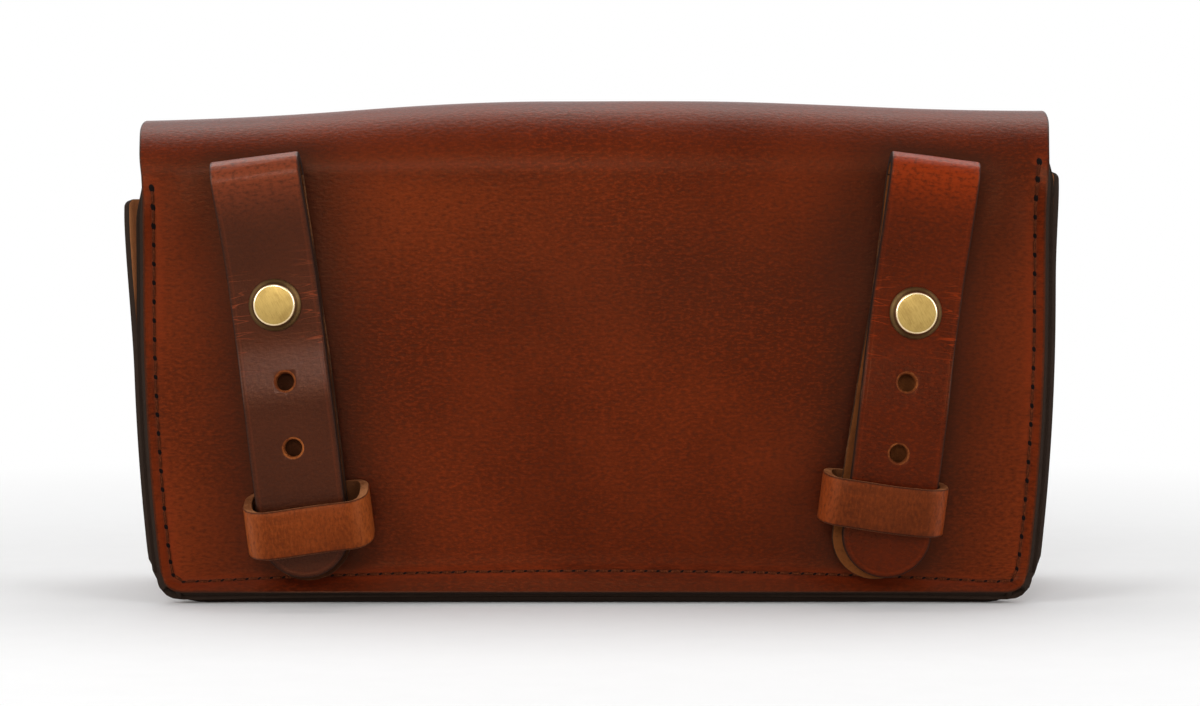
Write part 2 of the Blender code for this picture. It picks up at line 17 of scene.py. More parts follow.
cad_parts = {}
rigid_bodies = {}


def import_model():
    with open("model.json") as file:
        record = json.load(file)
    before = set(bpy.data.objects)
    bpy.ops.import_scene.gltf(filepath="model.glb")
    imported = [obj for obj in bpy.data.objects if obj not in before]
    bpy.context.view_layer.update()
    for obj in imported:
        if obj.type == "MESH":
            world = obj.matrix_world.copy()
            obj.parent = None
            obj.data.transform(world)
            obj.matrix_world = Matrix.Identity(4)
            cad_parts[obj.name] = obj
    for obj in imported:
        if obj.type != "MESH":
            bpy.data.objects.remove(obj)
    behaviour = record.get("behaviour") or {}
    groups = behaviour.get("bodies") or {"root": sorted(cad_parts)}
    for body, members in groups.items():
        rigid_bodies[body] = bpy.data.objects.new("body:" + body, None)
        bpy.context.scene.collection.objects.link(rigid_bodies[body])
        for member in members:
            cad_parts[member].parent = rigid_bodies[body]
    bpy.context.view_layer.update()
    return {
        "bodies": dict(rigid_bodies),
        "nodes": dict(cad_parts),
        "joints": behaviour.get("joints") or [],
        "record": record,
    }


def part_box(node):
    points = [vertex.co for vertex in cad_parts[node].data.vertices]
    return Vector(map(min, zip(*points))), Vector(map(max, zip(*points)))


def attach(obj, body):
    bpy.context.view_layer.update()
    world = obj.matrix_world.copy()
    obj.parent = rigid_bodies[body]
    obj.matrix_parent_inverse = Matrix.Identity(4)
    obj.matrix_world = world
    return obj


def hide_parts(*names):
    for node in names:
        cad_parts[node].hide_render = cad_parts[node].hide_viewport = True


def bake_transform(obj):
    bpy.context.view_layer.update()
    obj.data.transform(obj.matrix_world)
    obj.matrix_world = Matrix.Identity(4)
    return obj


LOG = logging.getLogger("bag")
MM = 0.001

Colour = tuple[float, float, float]
Stretch = tuple[float, float, float]
Surface = Callable[[float, float], Vector]
Reading = Callable[[float, float], float]

WAX_TINT: Colour = (1.0, 0.34, 0.13)
POST_HOLE = 2.55 * MM


def ease(share: float) -> float:
    """Returns a rise from 0 to 1 that starts and ends level."""
    share = min(1.0, max(0.0, share))
    return share * share * (3 - 2 * share)


def hump(value: float, centre: float, width: float) -> float:
    """Returns a soft bump of height 1 about a centre."""
    return exp(-((value - centre) / width) ** 2)


def blend_numbers(share: float, first: float, second: float) -> float:
    """Returns the number a share of the way from the first to the second."""
    return first + (second - first) * share


@dataclass(frozen=True)
class Patch:
    """A soft spot on a flat hide: how strong, where across and along, and how wide each way."""

    amount: float
    across: float
    wide: float
    along: float
    tall: float

    def at(self, across: float, along: float) -> float:
        """Returns the patch's strength at a place."""
        return self.amount * hump(across, self.across, self.wide) * hump(along, self.along, self.tall)


@dataclass(frozen=True)
class Ripple:
    """The unevenness of a hide: how high, how many to the metre each way, and which noise."""

    height: float
    across: float
    along: float
    seed: float

    def at(self, across: float, along: float) -> float:
        """Returns the ripple's height at a place."""
        return self.height * noise.noise(Vector((across * self.across, along * self.along, self.seed)))


class Side(Enum):
    """Which of a pair a piece is, as the photograph shows them."""

    LEFT = "left"
    RIGHT = "right"


# Shader graphs


class Wire:
    """A shader socket that can stand in a sum."""

    def __init__(self, graph: Graph, socket: bpy.types.NodeSocket) -> None:
        """Keeps the graph, which makes the nodes, and the socket."""
        self.graph = graph
        self.socket = socket

    def __add__(self, other: Number) -> Wire:
        """Returns the sum."""
        return self.graph.math("ADD", self, other)

    def __radd__(self, other: Number) -> Wire:
        """Returns the sum."""
        return self.graph.math("ADD", other, self)

    def __sub__(self, other: Number) -> Wire:
        """Returns the difference."""
        return self.graph.math("SUBTRACT", self, other)

    def __rsub__(self, other: Number) -> Wire:
        """Returns the difference, with this socket taken away."""
        return self.graph.math("SUBTRACT", other, self)

    def __mul__(self, other: Number) -> Wire:
        """Returns the product."""
        return self.graph.math("MULTIPLY", self, other)

    def __rmul__(self, other: Number) -> Wire:
        """Returns the product."""
        return self.graph.math("MULTIPLY", other, self)

    def __abs__(self) -> Wire:
        """Returns the size without its sign."""
        return self.graph.math("ABSOLUTE", self)


Number = float | Wire


class Graph:
    """The nodes of one material, or of the world, made through a single method."""

    def __init__(self, owner: bpy.types.Material | bpy.types.World) -> None:
        """Starts with only the owner's output.

        Args:
            owner: the new material or world.
        """
        self.owner = owner
        owner.use_nodes = True
        self.tree = owner.node_tree
        self.tree.nodes.clear()
        kind = "World" if isinstance(owner, bpy.types.World) else "Material"
        self.out = self.tree.nodes.new(f"ShaderNodeOutput{kind}")

    @classmethod
    def material(cls, name: str) -> Graph:
        """Returns the graph of a new material."""
        return cls(bpy.data.materials.new(name))

    def node(self, kind: str, settings: dict | None = None, inputs: dict | None = None,
             output: int | str = 0) -> Wire:
        """Adds any node.

        Args:
            kind: the node's type.
            settings: its properties, set before the sockets.
            inputs: values or wires by socket name or number.
            output: the socket to hand back.

        Returns:
            The chosen output.
        """
        made = self.tree.nodes.new(kind)
        for key, value in (settings or {}).items():
            setattr(made, key, value)
        for key, value in (inputs or {}).items():
            if isinstance(value, Wire):
                self.tree.links.new(value.socket, made.inputs[key])
            else:
                made.inputs[key].default_value = value
        return Wire(self, made.outputs[output])

    def math(self, operation: str, *values: Number) -> Wire:
        """Returns a sum worked out in the shader."""
        return self.node("ShaderNodeMath", {"operation": operation}, dict(enumerate(values)))

    def attribute(self, name: str) -> Wire:
        """Returns a number stored on the mesh's points."""
        return self.node("ShaderNodeAttribute", {"attribute_name": name}, output="Fac")

    def where(self) -> Wire:
        """Returns the place on the object, in metres."""
        return self.node("ShaderNodeTexCoord", output="Object")

    def flat(self) -> Wire:
        """Returns the place on the hide as it was cut, before it was bent."""
        return self.node("ShaderNodeCombineXYZ", None,
                         {0: self.attribute("across"), 1: self.attribute("along")})

    def scaled(self, place: Wire, scale: Sequence[float], turn: float = 0.0) -> Wire:
        """Returns a place stretched, and turned about Z, for a pattern."""
        return self.node("ShaderNodeMapping", None,
                         {"Vector": place, "Scale": tuple(scale), "Rotation": (0, 0, turn)})

    def cloud(self, place: Wire, scale: float, detail: float = 3.0, rough: float = 0.55) -> Wire:
        """Returns soft noise about 0.5."""
        return self.node("ShaderNodeTexNoise", None,
                         {"Vector": place, "Scale": scale, "Detail": detail, "Roughness": rough})

    def cells(self, place: Wire, scale: float) -> Wire:
        """Returns the distance to the nearest of scattered points, for pores and pebbles."""
        return self.node("ShaderNodeTexVoronoi", {"feature": "SMOOTH_F1"},
                         {"Vector": place, "Scale": scale, "Smoothness": 0.6})

    def ramp(self, value: Number, low: float, high: float) -> Wire:
        """Returns 0 below low and 1 above high, smooth between."""
        return self.node("ShaderNodeMapRange", {"interpolation_type": "SMOOTHSTEP"},
                         {0: value, 1: low, 2: high, 3: 0.0, 4: 1.0})

    def mix(self, share: Number, first: Colour | Wire, second: Colour | Wire) -> Wire:
        """Mixes two colours.

        Args:
            share: 0 for the first and 1 for the second.
            first: the colour underneath.
            second: the colour that goes over it.

        Returns:
            The mixed colour.
        """

        def full(colour: Colour | Wire) -> tuple | Wire:
            """Returns the colour with its alpha."""
            return colour if isinstance(colour, Wire) else (*colour, 1.0)

        return self.node("ShaderNodeMix", {"data_type": "RGBA"},
                         {0: share, 6: full(first), 7: full(second)}, output=2)

    def bump(self, height: Wire, strength: float, depth: float) -> Wire:
        """Returns a normal raised by a height from 0 to 1, with its depth in metres."""
        return self.node("ShaderNodeBump", None,
                         {"Height": height, "Strength": strength, "Distance": depth})

    def principled(self, **sockets: Number | Colour | Wire) -> Wire:
        """Adds the main shader.

        Args:
            **sockets: values or wires by the socket's name, in lower case and underscores.

        Returns:
            The shader.
        """
        named = {}
        for key, value in sockets.items():
            socket = key.replace("_", " ").title().replace("Ior", "IOR")
            named[socket] = (*value, 1.0) if isinstance(value, tuple) else value
        return self.node("ShaderNodeBsdfPrincipled", None, named)

    def seen(self) -> Wire:
        """Tells what is looked at from what only lights.

        Returns:
            1 for what is seen straight, in a gloss or through glass, and 0 for the rest.
        """
        rays = [self.node("ShaderNodeLightPath", output=f"Is {kind} Ray")
                for kind in ("Camera", "Glossy", "Transmission")]
        return self.math("MAXIMUM", self.math("MAXIMUM", rays[0], rays[1]), rays[2])

    def done(self, shader: Wire) -> bpy.types.Material | bpy.types.World:
        """Links the shader to the output and returns the material or the world."""
        self.tree.links.new(shader.socket, self.out.inputs["Surface"])
        return self.owner


# Finishes


class Marking(Enum):
    """What a hide's stored reading does to its grain: it darkens it, as painted shade on the back, or it
    creases it.
    """

    # Darkens: painted shade beside and under the straps and in patches on the back, a darkening along the
    # back's bottom edge, and the dyed edges run onto the gusset's margins.
    DARKEN = "dye and wax gathered in the shade of the straps"
    CREASE = "fine creases where the strap has been worked"


@dataclass(frozen=True)
class Grain:
    """The waxed outer face of a hide.

    A scale says how many of a pattern there are to the metre, across and along the cut.
    """

    name: str
    deep: Colour
    warm: Colour
    fleck: Colour
    rubbed_and_lit: Colour
    dark: Colour = (0.018, 0.006, 0.004)
    roughness: float = 0.38
    flecks: float = 0.6
    darkening_and_creases: Marking = Marking.DARKEN
    edge_highlight: float = 0.0
    fibre: float = 0.0
    coat: float = 0.02
    coat_roughness: float = 0.28
    gloss: float = 0.22
    broad_scale: float = 22
    patch_scale: float = 15
    streak_scale: Stretch = (150, 520, 1)
    wrinkle_scale: Stretch = (700, 1350, 1)
    fleck_scale: Stretch = (900, 2300, 1)
    speck_scale: float = 1300
    pore_scale: float = 760
    crease_scale: Stretch = (34, 330, 1)
    fibre_scale: Stretch = (520, 160, 1)
    halo: tuple[float, float] = (3.4 * MM, 0.8 * MM)
    groove: tuple[float, float] = (1.0 * MM, 0.3 * MM)
    burnish: tuple[float, float] = (0.95 * MM, 0.45 * MM)
    # A thin line of painted highlight along the bevelled edges of the straps, set in from the cut edge.
    line: tuple[float, float] = (0.42 * MM, 0.12 * MM)
    line_inset: float = 1.25 * MM
    relief: float = 0.2 * MM

    def make(self) -> bpy.types.Material:
        """Makes the grain: broad mottling, drawn-out flecks, pores, stitch grooves, creases and darkening,
        with painted shade and painted light.

        Returns:
            The material.
        """
        g = Graph.material(self.name)
        flat = g.flat()
        broad = g.cloud(flat, self.broad_scale, 3)
        streak = g.cloud(g.scaled(flat, self.streak_scale), 1, 5, 0.62)
        wrinkle = g.cloud(g.scaled(flat, self.wrinkle_scale), 1, 4, 0.6)
        fleck = g.cloud(g.scaled(flat, self.fleck_scale), 1, 3, 0.6)
        speck = g.cloud(flat, self.speck_scale, 2)
        pore = g.cells(flat, self.pore_scale)
        amount = (g.ramp(g.cloud(flat, self.patch_scale, 2), 0.34, 0.62) * 0.6 + 0.4) * self.flecks
        rim = g.attribute("rim")
        stitch = abs(g.attribute("stitch"))
        darkening_and_creases = g.attribute("darkening_and_creases")
        rub_and_light = g.attribute("rub_and_light")

        colour = g.mix(g.ramp(broad, 0.34, 0.66), self.deep, self.warm)
        colour = g.mix(g.ramp(streak, 0.52, 0.8) * 0.45 * amount, colour, self.fleck)
        colour = g.mix(g.ramp(wrinkle, 0.5, 0.64) * 0.7 * amount, colour, self.fleck)
        colour = g.mix(g.ramp(fleck, 0.54, 0.7) * 0.9 * amount, colour, self.fleck)
        colour = g.mix(g.ramp(wrinkle, 0.5, 0.36) * (0.55 * self.flecks), colour, self.dark)
        colour = g.mix(g.ramp(speck, 0.52, 0.74) * 0.25, colour, self.dark)
        # Lighter colour laid where the piece's reading asks: painted light on the back, painted highlights at
        # the keepers' bends, and worn leather with a painted highlight over the strap loops.
        colour = g.mix(rub_and_light * g.ramp(wrinkle, 0.2, 0.6), colour, self.rubbed_and_lit)
        halo = g.ramp(stitch, *self.halo) * g.ramp(broad + streak, 0.8, 1.15)
        colour = g.mix(halo * 0.55, colour, self.fleck)
        groove = g.ramp(stitch, *self.groove)
        colour = g.mix(groove * 0.25, colour, self.dark)
        burnish = g.ramp(rim + speck * (0.5 * MM), *self.burnish)
        height = pore * 0.5 + speck * 0.25 + streak * 0.2 + wrinkle * 1.3 - groove * 0.8
        rough = self.roughness + (speck - 0.5) * 0.16 + (broad - 0.5) * 0.22 + rub_and_light * 0.08
        # Darker where the piece's reading asks: painted shade beside and under the straps and in patches on
        # the back, a darkening along the back's bottom edge, and the dyed edges run onto the gusset's
        # margins.
        if self.darkening_and_creases is Marking.DARKEN:
            colour = g.mix(darkening_and_creases * 0.82, colour, self.dark)
        else:
            ridge = g.cloud(g.scaled(flat, self.crease_scale, 0.05), 1, 2.5, 0.5)
            crease = g.ramp(abs(ridge - 0.52), 0.016, 0.003) * darkening_and_creases
            colour = g.mix(crease * 0.75, colour, self.rubbed_and_lit)
            height = height - crease * 1.4
        # A painted highlight: a thin lighter line along the bevelled edges, with a slight groove.
        if self.edge_highlight:
            line = g.ramp(abs(rim - self.line_inset), *self.line)
            colour = g.mix(line * self.edge_highlight, colour, self.rubbed_and_lit)
            height = height - line * 0.5
        if self.fibre:
            hair = g.cloud(g.scaled(flat, self.fibre_scale, 0.5), 1, 6, 0.7)
            colour = g.mix(g.ramp(hair, 0.42, 0.72) * self.fibre, colour, self.rubbed_and_lit)
            height = height + hair * (1.2 * self.fibre)
        colour = g.mix(burnish * 0.85, colour, self.dark)
        normal = g.bump(height, 0.4, self.relief)
        return g.done(g.principled(base_color=colour, roughness=rough, normal=normal,
                                   specular_ior_level=self.gloss, specular_tint=WAX_TINT,
                                   coat_weight=self.coat, coat_roughness=self.coat_roughness))


@dataclass(frozen=True)
class CutEdge:
    """The cut edge of a hide: dyed dark, or left raw."""

    name: str
    darkness: Colour
    raw: Colour
    worn_through: float = 0.25
    shadow: Colour = (0.010, 0.006, 0.004)
    gloss: float = 0.05
    broad_scale: float = 60
    fibre_scale: Stretch = (900, 1600, 900)
    relief: float = 0.25 * MM

    def make(self) -> bpy.types.Material:
        """Makes layered fibres under a dye that has worn through in places.

        Returns:
            The material.
        """
        g = Graph.material(self.name)
        place = g.where()
        broad = g.cloud(place, self.broad_scale, 4, 0.65)
        fibre = g.cloud(g.scaled(place, self.fibre_scale), 1, 4, 0.7)
        worn = g.ramp(broad + (fibre - 0.5) * 0.7, 0.78 - self.worn_through, 1.0 - self.worn_through)
        colour = g.mix(worn, self.darkness, self.raw)
        colour = g.mix(g.ramp(fibre, 0.5, 0.75) * 0.4, colour, self.shadow)
        normal = g.bump(fibre, 0.6, self.relief)
        return g.done(g.principled(base_color=colour, roughness=0.62 + fibre * 0.25, normal=normal,
                                   specular_ior_level=self.gloss))


@dataclass(frozen=True)
class Flesh:
    """The soft inner face of a hide."""

    name: str
    nap: Colour
    shade: Colour
    dyed: Colour | None = None
    gloss: float = 0.05
    broad_scale: float = 45
    fibre_scale: float = 950
    relief: float = 0.4 * MM

    def make(self) -> bpy.types.Material:
        """Makes a matted, fibrous nap, with the edge's dye run over it where it is worn.

        Returns:
            The material.
        """
        g = Graph.material(self.name)
        place = g.where()
        broad = g.cloud(place, self.broad_scale, 4, 0.6)
        fibre = g.cloud(place, self.fibre_scale, 5, 0.72)
        colour = g.mix(g.ramp(broad, 0.3, 0.7), self.shade, self.nap)
        colour = g.mix(g.ramp(fibre, 0.5, 0.72) * 0.5, colour, self.shade)
        if self.dyed:
            colour = g.mix(g.attribute("darkening_and_creases"), colour, self.dyed)
        normal = g.bump(fibre + broad * 0.5, 0.7, self.relief)
        return g.done(g.principled(base_color=colour, roughness=0.92 - fibre * 0.1, normal=normal,
                                   specular_ior_level=self.gloss))


@dataclass(frozen=True)
class Thread:
    """Waxed sewing thread."""

    name: str
    colour: Colour
    light: Colour
    gloss: float = 0.05
    twist_scale: Stretch = (2600, 2600, 1500)
    twist_turn: float = 0.6
    relief: float = 0.12 * MM

    def make(self) -> bpy.types.Material:
        """Makes a dark twisted thread with a dull shine.

        Returns:
            The material.
        """
        g = Graph.material(self.name)
        twist = g.cloud(g.scaled(g.where(), self.twist_scale, self.twist_turn), 1, 2)
        colour = g.mix(g.ramp(twist, 0.45, 0.7), self.colour, self.light)
        normal = g.bump(twist, 0.5, self.relief)
        return g.done(g.principled(base_color=colour, roughness=0.5 + twist * 0.2, normal=normal,
                                   specular_ior_level=self.gloss))


@dataclass(frozen=True)
class Brass:
    """Turned brass, brushed one way or left as it came off the lathe."""

    name: str
    colour: Colour
    tarnish: Colour
    roughness: float
    brush: float = 0.0
    turn: float = 0.0
    blot_scale: float = 260
    brush_scale: Stretch = (5200, 300, 420)
    pit_scale: float = 2100
    relief: float = 0.05 * MM

    def make(self) -> bpy.types.Material:
        """Makes brass with fine brushing, tarnish in blots and a few pits.

        Returns:
            The material.
        """
        g = Graph.material(self.name)
        place = g.where()
        blot = g.cloud(place, self.blot_scale, 4, 0.6)
        turned = g.node("ShaderNodeVectorRotate", {"rotation_type": "Y_AXIS"},
                        {"Vector": place, "Angle": self.turn})
        lines = g.cloud(g.scaled(turned, self.brush_scale), 1, 3, 0.7)
        pits = g.cloud(place, self.pit_scale, 2)
        colour = g.mix(g.ramp(blot, 0.42, 0.72) * 0.55, self.colour, self.tarnish)
        colour = g.mix(g.ramp(lines, 0.42, 0.7) * (0.6 * self.brush), colour, self.tarnish)
        rough = self.roughness + (blot - 0.5) * 0.2 + (lines - 0.5) * (0.4 * self.brush)
        height = lines * self.brush + g.ramp(pits, 0.6, 0.75) * 0.3
        normal = g.bump(height, 0.35, self.relief)
        return g.done(g.principled(base_color=colour, roughness=rough, normal=normal, metallic=1.0))


@dataclass(frozen=True)
class Plain:
    """A dull dark surface: painted shade that stands in for the shaded inside of a stitch hole."""

    name: str
    colour: Colour
    grit_scale: float = 1800

    def make(self) -> bpy.types.Material:
        """Makes a rough colour with a little noise.

        Returns:
            The material.
        """
        g = Graph.material(self.name)
        grit = g.cloud(g.where(), self.grit_scale, 3)
        darker = tuple(0.4 * part for part in self.colour)
        colour = g.mix(g.ramp(grit, 0.4, 0.7), self.colour, darker)
        return g.done(g.principled(base_color=colour, roughness=0.9, specular_ior_level=0.1))


class Palette:
    """Every finish on the bag, made once."""

    def __init__(self) -> None:
        """Makes the materials."""
        self.hide = Grain("oxblood grain", (0.058, 0.0060, 0.0012), (0.092, 0.0112, 0.0022),
                          (0.185, 0.0215, 0.0040), (0.185, 0.028, 0.0055), roughness=0.34).make()
        self.strap = {
            Side.LEFT: Grain("chocolate strap grain", (0.031, 0.0058, 0.0016), (0.046, 0.0090, 0.0026),
                             (0.070, 0.0150, 0.005), (0.19, 0.034, 0.011), roughness=0.28, flecks=0.3,
                             darkening_and_creases=Marking.CREASE, edge_highlight=0.1, coat=0.14).make(),
            Side.RIGHT: Grain("russet strap grain", (0.041, 0.0046, 0.0010), (0.072, 0.0078, 0.0015),
                              (0.160, 0.017, 0.0026), (0.24, 0.024, 0.003), roughness=0.30, flecks=0.45,
                              darkening_and_creases=Marking.CREASE, edge_highlight=0.08, coat=0.04).make()}
        self.keeper = {
            Side.LEFT: Grain("tan keeper grain", (0.098, 0.0165, 0.0034), (0.165, 0.0300, 0.0056),
                             (0.26, 0.055, 0.011), (0.30, 0.068, 0.013), roughness=0.36, flecks=0.5,
                             fibre=0.12).make(),
            Side.RIGHT: Grain("brown keeper grain", (0.060, 0.0110, 0.0032), (0.100, 0.0190, 0.0050),
                              (0.20, 0.034, 0.006), (0.26, 0.048, 0.009), roughness=0.35, flecks=0.5,
                              fibre=0.14).make()}
        self.gusset = Grain("gusset grain", (0.046, 0.0085, 0.0034), (0.085, 0.0160, 0.0050),
                            (0.15, 0.030, 0.009), (0.20, 0.05, 0.02), roughness=0.45).make()
        self.edge = CutEdge("dyed edge", (0.024, 0.0145, 0.0100), (0.090, 0.040, 0.019), 0.10).make()
        self.strap_edge = CutEdge("dyed strap edge", (0.022, 0.0105, 0.0075),
                                  (0.13, 0.050, 0.021), 0.20).make()
        self.under_edge = CutEdge("worn strap edge", (0.028, 0.0120, 0.0065),
                                  (0.17, 0.066, 0.024), 0.30).make()
        self.raw_edge = CutEdge("raw keeper edge", (0.160, 0.050, 0.0170),
                                (0.35, 0.140, 0.056), 0.40).make()
        self.punched = CutEdge("punched hole wall", (0.105, 0.0230, 0.0060),
                               (0.27, 0.076, 0.018), 0.35).make()
        self.flesh = Flesh("flesh side", (0.36, 0.140, 0.052), (0.25, 0.092, 0.034)).make()
        self.keeper_flesh = Flesh("keeper flesh side", (0.160, 0.0530, 0.0175),
                                  (0.075, 0.0250, 0.0090)).make()
        self.gusset_flesh = Flesh("gusset flesh side", (0.36, 0.140, 0.052), (0.22, 0.080, 0.030),
                                  (0.026, 0.0150, 0.0100)).make()
        self.strap_flesh = {
            Side.LEFT: Flesh("dark strap flesh side", (0.078, 0.0240, 0.0080),
                             (0.036, 0.0110, 0.0040)).make(),
            Side.RIGHT: Flesh("tan strap flesh side", (0.165, 0.0500, 0.0125),
                              (0.072, 0.0210, 0.0058)).make()}
        self.thread = Thread("waxed thread", (0.058, 0.0120, 0.0036), (0.130, 0.029, 0.0080)).make()
        # Dark lenses of painted shade that stand in for the shaded openings of the stitch holes.
        self.hole = Plain("stitch hole", (0.0045, 0.0022, 0.0016)).make()
        self.brass_flat = Brass("brushed brass", (0.44, 0.295, 0.090),
                                (0.25, 0.155, 0.044), 0.42, 1.0, 0.5).make()
        self.brass_rim = Brass("bright brass rim", (0.86, 0.68, 0.42), (0.66, 0.46, 0.2), 0.20).make()
        self.brass_dark = Brass("antique brass bevel", (0.210, 0.125, 0.048),
                                (0.095, 0.052, 0.022), 0.40).make()
        self.brass_plain = Brass("plain brass", (0.62, 0.43, 0.16), (0.40, 0.25, 0.08), 0.28, 0.4).make()


# Leather cut flat and bent


RIM_ANGLE = 1.2
FACE_LEVEL = 0.6
WALL_LEVEL = 0.98
SLOPE_STEP = 0.02 * MM
FRAME_STEP = 0.05 * MM
# The numbers stored on a hide's points, each with what it is where a hide doesn't say.
READINGS = {"rim": 1.0, "stitch": 1.0, "darkening_and_creases": 0.0, "rub_and_light": 0.0}


class Face(IntEnum):
    """Where a hide's finishes go."""

    GRAIN = 0
    EDGE = 1
    FLESH = 2
    PUNCHED = 3


@dataclass
class Hide:
    """A piece of leather: cut flat to an outline, bevelled, divided for bending and then bent.

    Flat, x runs across the piece and y along it, and the grain is the upper face at z = 0.
    """

    name: str
    outline: list[Vector]
    thickness: float
    holes: list[list[Vector]] = field(default_factory=list)
    across_lines: Sequence[float] = ()
    along_lines: Sequence[float] = ()
    edge_round: float = 0.4 * MM
    flip: bool = False

    def cut(self) -> bmesh.types.BMesh:
        """Cuts the piece, punches its holes, rounds its rims, sets its finishes and divides it.

        Returns:
            The flat piece.
        """
        bm = bmesh.new()
        for loop in (self.outline, *self.holes):
            points = [bm.verts.new((point.x, point.y, 0)) for point in loop]
            for index, point in enumerate(points):
                bm.edges.new((points[index - 1], point))
        bmesh.ops.triangle_fill(bm, edges=bm.edges[:], use_beauty=True, normal=(0, 0, 1))
        grown = bmesh.ops.extrude_face_region(bm, geom=bm.faces[:])["geom"]
        below = [item for item in grown if isinstance(item, bmesh.types.BMVert)]
        bmesh.ops.translate(bm, verts=below, vec=(0, 0, -self.thickness))
        bmesh.ops.recalc_face_normals(bm, faces=bm.faces[:])
        rims = [edge for edge in bm.edges if edge.is_manifold and edge.calc_face_angle() > RIM_ANGLE
                and edge.verts[0].co.z == edge.verts[1].co.z]
        bmesh.ops.bevel(bm, geom=rims, offset=self.edge_round, offset_type="OFFSET", segments=2,
                        profile=0.5, affect="EDGES", material=-1)
        for face in bm.faces:
            face.normal_update()
            face.material_index = self.finish_of(face)
        for axis, lines in (((1, 0, 0), self.across_lines), ((0, 1, 0), self.along_lines)):
            for line in lines:
                everything = bm.verts[:] + bm.edges[:] + bm.faces[:]
                bmesh.ops.bisect_plane(bm, geom=everything, dist=1e-6, plane_no=axis,
                                       plane_co=tuple(line * part for part in axis))
        return bm

    def finish_of(self, face: bmesh.types.BMFace) -> Face:
        """Says which finish a face of the flat piece takes.

        Args:
            face: with its normal up to date.

        Returns:
            The finish's slot.
        """
        level = face.normal.z
        if abs(level) < WALL_LEVEL and self.in_hole(face.calc_center_median()):
            return Face.PUNCHED
        if abs(level) > FACE_LEVEL:
            return Face.GRAIN if level > 0 else Face.FLESH
        return Face.EDGE

    def in_hole(self, place: Vector) -> bool:
        """Tests a place on the flat piece.

        Args:
            place: the middle of a face.

        Returns:
            Whether it is on the wall of a punched hole.
        """
        for hole in self.holes:
            centre = sum(hole, Vector((0, 0))) / len(hole)
            if (place.to_2d() - centre).length < (hole[0] - centre).length + 2 * self.edge_round:
                return True
        return False

    def bend(self, surface: Surface, readings: dict[str, Reading]) -> bpy.types.Mesh:
        """Lays the flat piece on a surface.

        Args:
            surface: the grain's place for a place on the flat piece.
            readings: numbers to store on the points, by name.

        Returns:
            The bent mesh.
        """
        bm = self.cut()
        layers = {name: bm.verts.layers.float.new(name) for name in ("across", "along", *READINGS)}
        side = -1 if self.flip else 1
        for vert in bm.verts:
            across, along, height = vert.co
            vert[layers["across"]] = across
            vert[layers["along"]] = along
            for name, unset in READINGS.items():
                reading = readings.get(name)
                vert[layers[name]] = reading(across, along) if reading else unset
            run_across = surface(across + SLOPE_STEP, along) - surface(across - SLOPE_STEP, along)
            run_along = surface(across, along + SLOPE_STEP) - surface(across, along - SLOPE_STEP)
            normal = run_across.cross(run_along).normalized() * side
            vert.co = surface(across, along) + normal * height
        if bm.calc_volume(signed=True) < 0:
            bmesh.ops.reverse_faces(bm, faces=bm.faces[:])
        return as_mesh(bm, self.name)


def as_mesh(bm: bmesh.types.BMesh, name: str, sharp: float = 42.0) -> bpy.types.Mesh:
    """Makes a bmesh a smooth mesh with its sharp edges marked, and frees it.

    Args:
        bm: the finished shape.
        name: of the mesh.
        sharp: the angle in degrees past which an edge stays sharp.

    Returns:
        The mesh.
    """
    mesh = bpy.data.meshes.new(name)
    bm.to_mesh(mesh)
    bm.free()
    mesh.shade_smooth()
    mesh.set_sharp_from_angle(angle=radians(sharp))
    return mesh


def show(mesh: bpy.types.Mesh, materials: Sequence[bpy.types.Material]) -> bpy.types.Object:
    """Puts a mesh in the scene.

    Args:
        mesh: in the bag's own frame.
        materials: its finishes in slot order.

    Returns:
        The piece.
    """
    for material in materials:
        mesh.materials.append(material)
    piece = bpy.data.objects.new(mesh.name, mesh)
    bpy.context.scene.collection.objects.link(piece)
    LOG.info("%s: %d faces", mesh.name, len(mesh.polygons))
    return piece


def spread(low: float, high: float, gap: float) -> list[float]:
    """Returns evenly spaced lines strictly between two ends, about a gap apart."""
    count = max(1, round((high - low) / gap))
    return [low + (high - low) * i / count for i in range(1, count)]


def ring(centre: tuple[float, float], radius: float, steps: int = 28) -> list[Vector]:
    """Returns points round a hole."""
    angles = [2 * pi * i / steps for i in range(steps)]
    return [Vector((centre[0] + radius * cos(angle), centre[1] + radius * sin(angle))) for angle in angles]


def quarter(centre: tuple[float, float], radius: float, start: float, steps: int = 8) -> list[Vector]:
    """Returns points of a quarter circle, anticlockwise from an angle in degrees."""
    angles = [radians(start + 90 * i / steps) for i in range(steps + 1)]
    return [Vector((centre[0] + radius * cos(angle), centre[1] + radius * sin(angle))) for angle in angles]


def lengths_to(points: Sequence[Vector]) -> list[float]:
    """Measures a line of points.

    Args:
        points: in order.

    Returns:
        The length along the line to each point.
    """
    lengths = [0.0]
    for near, far in zip(points, points[1:]):
        lengths.append(lengths[-1] + (far - near).length)
    return lengths


def between(points: Sequence[Vector], lengths: Sequence[float], at: float) -> Vector:
    """Finds a place on a line of points, which is carried straight on past its ends.

    Args:
        points: in order.
        lengths: the measure of each point.
        at: the measure of the place.

    Returns:
        The place.
    """
    index = min(max(bisect_left(lengths, at), 1), len(points) - 1)
    span = lengths[index] - lengths[index - 1]
    return points[index - 1].lerp(points[index], (at - lengths[index - 1]) / span)


def surface_frame(surface: Surface, place: Vector, side: int) -> Matrix:
    """Finds the frame of a surface at a place.

    Args:
        surface: the grain's place for a place on the flat piece.
        place: on the flat piece.
        side: 1 where the surface's own normal points out, or -1.

    Returns:
        A frame with x across, y along and z out.
    """
    step = FRAME_STEP
    across = (surface(place.x + step, place.y) - surface(place.x - step, place.y)).normalized()
    along = (surface(place.x, place.y + step) - surface(place.x, place.y - step)).normalized()
    out = across.cross(along).normalized() * side
    frame = Matrix((across, out.cross(across), out)).transposed().to_4x4()
    frame.translation = surface(place.x, place.y)
    return frame


# The body: wrapped hide, front and gusset


